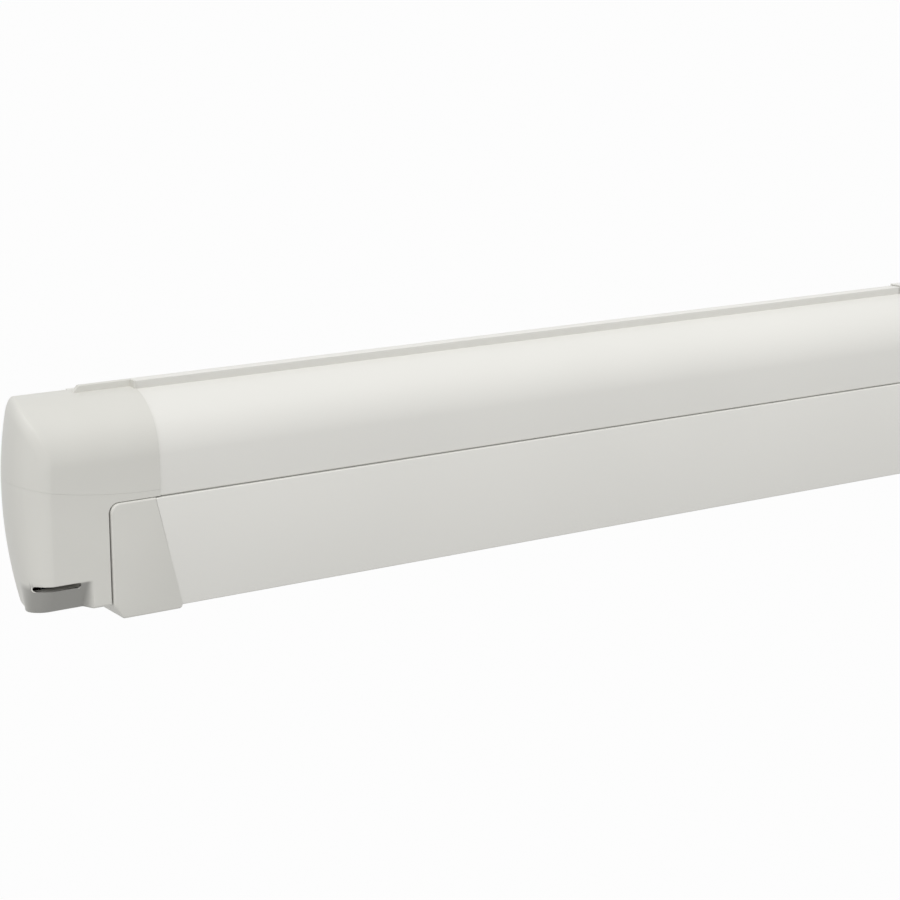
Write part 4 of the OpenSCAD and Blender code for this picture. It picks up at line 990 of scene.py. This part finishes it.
class AWNING_OT_fabric(bpy.types.Operator):
    """Build the wound cloth, the stretch that runs to the lead rail and its sewn hem"""

    bl_idname = "awning.fabric"
    bl_label = "Fabric"

    # Depth and rise of the hem behind the cord's axis in mm, along its middle.
    HEM_LINE = ((2.9, 0), (6.6, 0), (12.6, 1.22))
    # Points round each turn of the roll.
    TURN_STEPS = 48

    def execute(self, context):
        sizes = context.scene.awning_sizes
        self.wound(sizes)
        hem = self.hem(sizes)
        stitches = self.stitches(sizes)
        self.stretch([hem, stitches])
        return {"FINISHED"}

    def wound(self, sizes):
        """The cloth on the roller, as one spiral sheet."""
        centre = (TUBE_LOW + TUBE_HIGH) / 2
        inner = (TUBE_HIGH.z - TUBE_LOW.z) / 2 + 0.15 * MM
        outer = (ROLL_HIGH.z - ROLL_LOW.z) / 2
        turns = sizes.fabric_turns
        steps, count = int(turns * self.TURN_STEPS), 13
        width = ROLL_HIGH.x - ROLL_LOW.x
        columns = [ROLL_LOW.x + width * i / (count - 1) for i in range(count)]
        verts, lengths = [], []
        run = 0.0
        for k in range(steps + 1):
            turn = -math.pi / 2 + 2 * math.pi * turns * (k / steps - 1)
            radius = inner + (outer - inner) * k / steps
            if k:
                run += radius * 2 * math.pi * turns / steps
            lengths.append(run)
            verts += [(x, centre.y + radius * math.cos(turn), centre.z + radius * math.sin(turn)) for x in columns]
        faces = skin(steps + 1, count, closed=False)
        piece = mesh_object("wound_cloth", verts, faces, material_of("awning_fabric"), CLOTH_SHARP)
        self.map_cloth(piece, {i: (v[0], lengths[i // count]) for i, v in enumerate(verts)})
        dress(piece, "roller", "awning_fabric", "fabric_roll")

    def hem_point(self, i):
        """A point of the hem's middle line, as depth and height."""
        axis = (KEDER_LOW + KEDER_HIGH) / 2
        run, rise = self.HEM_LINE[i]
        return Vector((axis.y - FRONT + run * MM, axis.z + rise * MM))

    def hem(self, sizes):
        """The doubled hem that is welded round the cord in the lead rail's groove."""
        half = Vector((0, sizes.hem_t / 2))
        line = [self.hem_point(i) for i in range(len(self.HEM_LINE))]
        corners = [(*(p - half), 0) for p in line] + [(*(p + half), 0) for p in reversed(line)]
        piece = extrusion("cloth_hem", filleted(corners), lambda z: STRIP_LOW.x, lambda z: STRIP_HIGH.x,
                          material_of("awning_fabric"))
        self.map_cloth(piece, {v.index: (v.co.x, v.co.y) for v in piece.data.vertices})
        return dress(piece, "fabric", "awning_fabric")

    def stitches(self, sizes):
        """Two rows of stitches through the hem."""
        tree, names = stitch_tree(material_of("keder_cord"))
        fold, end = self.hem_point(1), self.hem_point(2)
        # The rows lie at 0.3 and 0.7 of the way from the hem's fold to its end.
        first, step = fold.lerp(end, 0.3), (end - fold) * 0.4
        count = int((STRIP_HIGH.x - STRIP_LOW.x) / sizes.stitch_pitch)
        start = (-sizes.stitch_pitch * (count - 1) / 2, FRONT + first.x, first.y)
        thread = sizes.thread / 2
        half = (sizes.stitch_l / 2, thread, sizes.hem_t / 2 + thread)
        values = {"Start": start, "Pitch": (sizes.stitch_pitch, 0, 0), "Stitches": count, "Rows": 2,
                  "Row step": (0, step.x, step.y), "Half stitch": half}
        piece = new_object("hem_stitches", bpy.data.meshes.new("hem_stitches"))
        rows = piece.modifiers.new("stitches", "NODES")
        rows.node_group = tree
        for name, value in values.items():
            rows[names[name]] = value
        return dress(applied(piece, CLOTH_SHARP), "fabric", "keder_cord")

    def stretch(self, sewn):
        """The sheet between roller and lead rail; its cloth map spreads over the rail's full travel."""
        rear = Vector((0, STRIP_HIGH.y, STRIP_HIGH.z - 0.4 * MM))
        front = Vector((0, STRIP_LOW.y, (KEDER_LOW.z + KEDER_HIGH.z) / 2))
        travel = next(j["range_m"][1] for j in frame["joints"] if j["name"] == "fabric_feed")
        steps, count = 64, 25
        width, run = STRIP_HIGH.x - STRIP_LOW.x, (front - rear).length
        verts, places = [], {}
        for k in range(steps + 1):
            share = k / steps
            at = rear.lerp(front, share)
            drawn = smooth_step(share) * travel + share * run
            for i in range(count):
                x = STRIP_LOW.x + width * i / (count - 1)
                places[len(verts)] = (x, drawn)
                verts.append((x, at.y, at.z))
        faces = skin(steps + 1, count, closed=False)
        piece = mesh_object("drawn_cloth", verts, faces, material_of("awning_fabric"), CLOTH_SHARP)
        self.map_cloth(piece, places)
        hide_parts("fabric_strip")
        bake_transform(piece)

    @staticmethod
    def map_cloth(piece, places):
        """Writes each point's place on the cloth, in metres, to the sheet's own map."""
        layer = piece.data.uv_layers.new(name="cloth")
        for loop in piece.data.loops:
            layer.data[loop.index].uv = places[loop.vertex_index]


class AWNING_OT_stage(bpy.types.Operator):
    """Set the camera, the soft studio light and the pale floor"""

    bl_idname = "awning.stage"
    bl_label = "Stage"

    # The fill light's height and side, and how wide both lights spread.
    FILL_LIFT, FILL_TURN, SPREAD = (math.radians(angle) for angle in (30, 75, 50))
    # The floor's half width in metres, its grey and how white the camera sees it.
    FLOOR_REACH, FLOOR_GREY, FLOOR_WHITE = 90, 0.58, 0.95

    def execute(self, context):
        scene = context.scene
        stage = scene.awning_stage
        self.camera(scene, stage)
        self.lights(scene, stage)
        self.floor(stage)
        scene.view_settings.view_transform = "Standard"
        return {"FINISHED"}

    @staticmethod
    def camera(scene, stage):
        """The camera at the place and in the direction that the stage gives."""
        data = bpy.data.cameras.new("camera")
        data.lens = stage.lens
        data.sensor_width = 36
        data.clip_end = 200
        camera = new_object("camera", data)
        camera.location = stage.camera_at
        camera.rotation_euler = Vector(stage.camera_way).to_track_quat("-Z", "Y").to_euler()
        scene.camera = camera

    def lights(self, scene, stage):
        """Key, fill and an even sky that shows white behind the object."""
        self.sun("key", stage.key_power, stage.key_lift, stage.key_turn)
        self.sun("fill", stage.fill_power, self.FILL_LIFT, self.FILL_TURN)
        world = bpy.data.worlds.new("studio")
        scene.world = world
        tree = bare_tree(world)
        seen = self.seen_ray(tree)
        sky = add(tree, "ShaderNodeBackground", Color=grey(1.0), Strength=stage.sky_power)
        white = add(tree, "ShaderNodeBackground", Color=grey(1.0), Strength=1.0)
        mix = add(tree, "ShaderNodeMixShader", i0=seen, i1=sky.outputs["Background"], i2=white.outputs["Background"])
        add(tree, "ShaderNodeOutputWorld", Surface=mix.outputs["Shader"])

    def sun(self, name, power, lift, turn):
        """A wide soft light at an elevation, turned to the left of the front."""
        lamp = bpy.data.lights.new(name, "SUN")
        lamp.energy = power
        lamp.angle = self.SPREAD
        light = new_object(name, lamp)
        way = Vector((math.cos(lift) * math.sin(turn), math.cos(lift) * math.cos(turn), -math.sin(lift)))
        light.rotation_euler = way.to_track_quat("-Z", "Y").to_euler()

    @staticmethod
    def seen_ray(tree):
        """1 on rays that show the background: from the camera, in metal and through glass."""
        path = add(tree, "ShaderNodeLightPath")
        gloss = add(tree, "ShaderNodeMath", {"operation": "MAXIMUM"}, i0=path.outputs["Is Camera Ray"],
                    i1=path.outputs["Is Glossy Ray"])
        both = add(tree, "ShaderNodeMath", {"operation": "MAXIMUM"}, i0=gloss.outputs["Value"],
                   i1=path.outputs["Is Transmission Ray"])
        return both.outputs["Value"]

    def floor(self, stage):
        """A wide pale floor that keeps a soft shadow."""
        low, reach = stage.ground, self.FLOOR_REACH
        verts = [(-reach, -reach, low), (reach, -reach, low), (reach, reach, low), (-reach, reach, low)]
        material = bpy.data.materials.new("pale studio floor")
        tree = bare_tree(material)
        paint = add(tree, "ShaderNodeBsdfDiffuse", Color=grey(self.FLOOR_GREY))
        white = add(tree, "ShaderNodeEmission", Color=grey(1.0), Strength=1.0)
        seen = self.seen_ray(tree)
        share = add(tree, "ShaderNodeMath", {"operation": "MULTIPLY"}, i0=seen, i1=self.FLOOR_WHITE)
        mix = add(tree, "ShaderNodeMixShader", i0=share.outputs["Value"], i1=paint.outputs["BSDF"],
                  i2=white.outputs["Emission"])
        add(tree, "ShaderNodeOutputMaterial", Surface=mix.outputs["Shader"])
        mesh_object("floor", verts, [(0, 1, 2, 3)], material)


OPERATORS = (AWNING_OT_finishes, AWNING_OT_housing, AWNING_OT_end_caps, AWNING_OT_lead_rail, AWNING_OT_arms,
             AWNING_OT_fabric, AWNING_OT_stage)


class AWNING_PT_panel(bpy.types.Panel):
    """Lists the awning's operators"""

    bl_idname = "AWNING_PT_panel"
    bl_label = "Awning"
    bl_space_type = "VIEW_3D"
    bl_region_type = "UI"
    bl_category = "Awning"

    def draw(self, context):
        for operator in OPERATORS:
            self.layout.operator(operator.bl_idname)


CLASSES = (AwningSizes, AwningColours, AwningStage, *OPERATORS, AWNING_PT_panel)


def register():
    for cls in CLASSES:
        bpy.utils.register_class(cls)
    bpy.types.Scene.awning_sizes = PointerProperty(type=AwningSizes)
    bpy.types.Scene.awning_colours = PointerProperty(type=AwningColours)
    bpy.types.Scene.awning_stage = PointerProperty(type=AwningStage)


def unregister():
    del bpy.types.Scene.awning_stage
    del bpy.types.Scene.awning_colours
    del bpy.types.Scene.awning_sizes
    for cls in reversed(CLASSES):
        bpy.utils.unregister_class(cls)


def main():
    """Builds every piece in order."""
    register()
    bpy.ops.awning.finishes()
    bpy.ops.awning.housing()
    bpy.ops.awning.end_caps()
    bpy.ops.awning.lead_rail()
    bpy.ops.awning.arms()
    bpy.ops.awning.fabric()
    bpy.ops.awning.stage()
    bpy.context.view_layer.update()


if __name__ == "__main__":
    main()
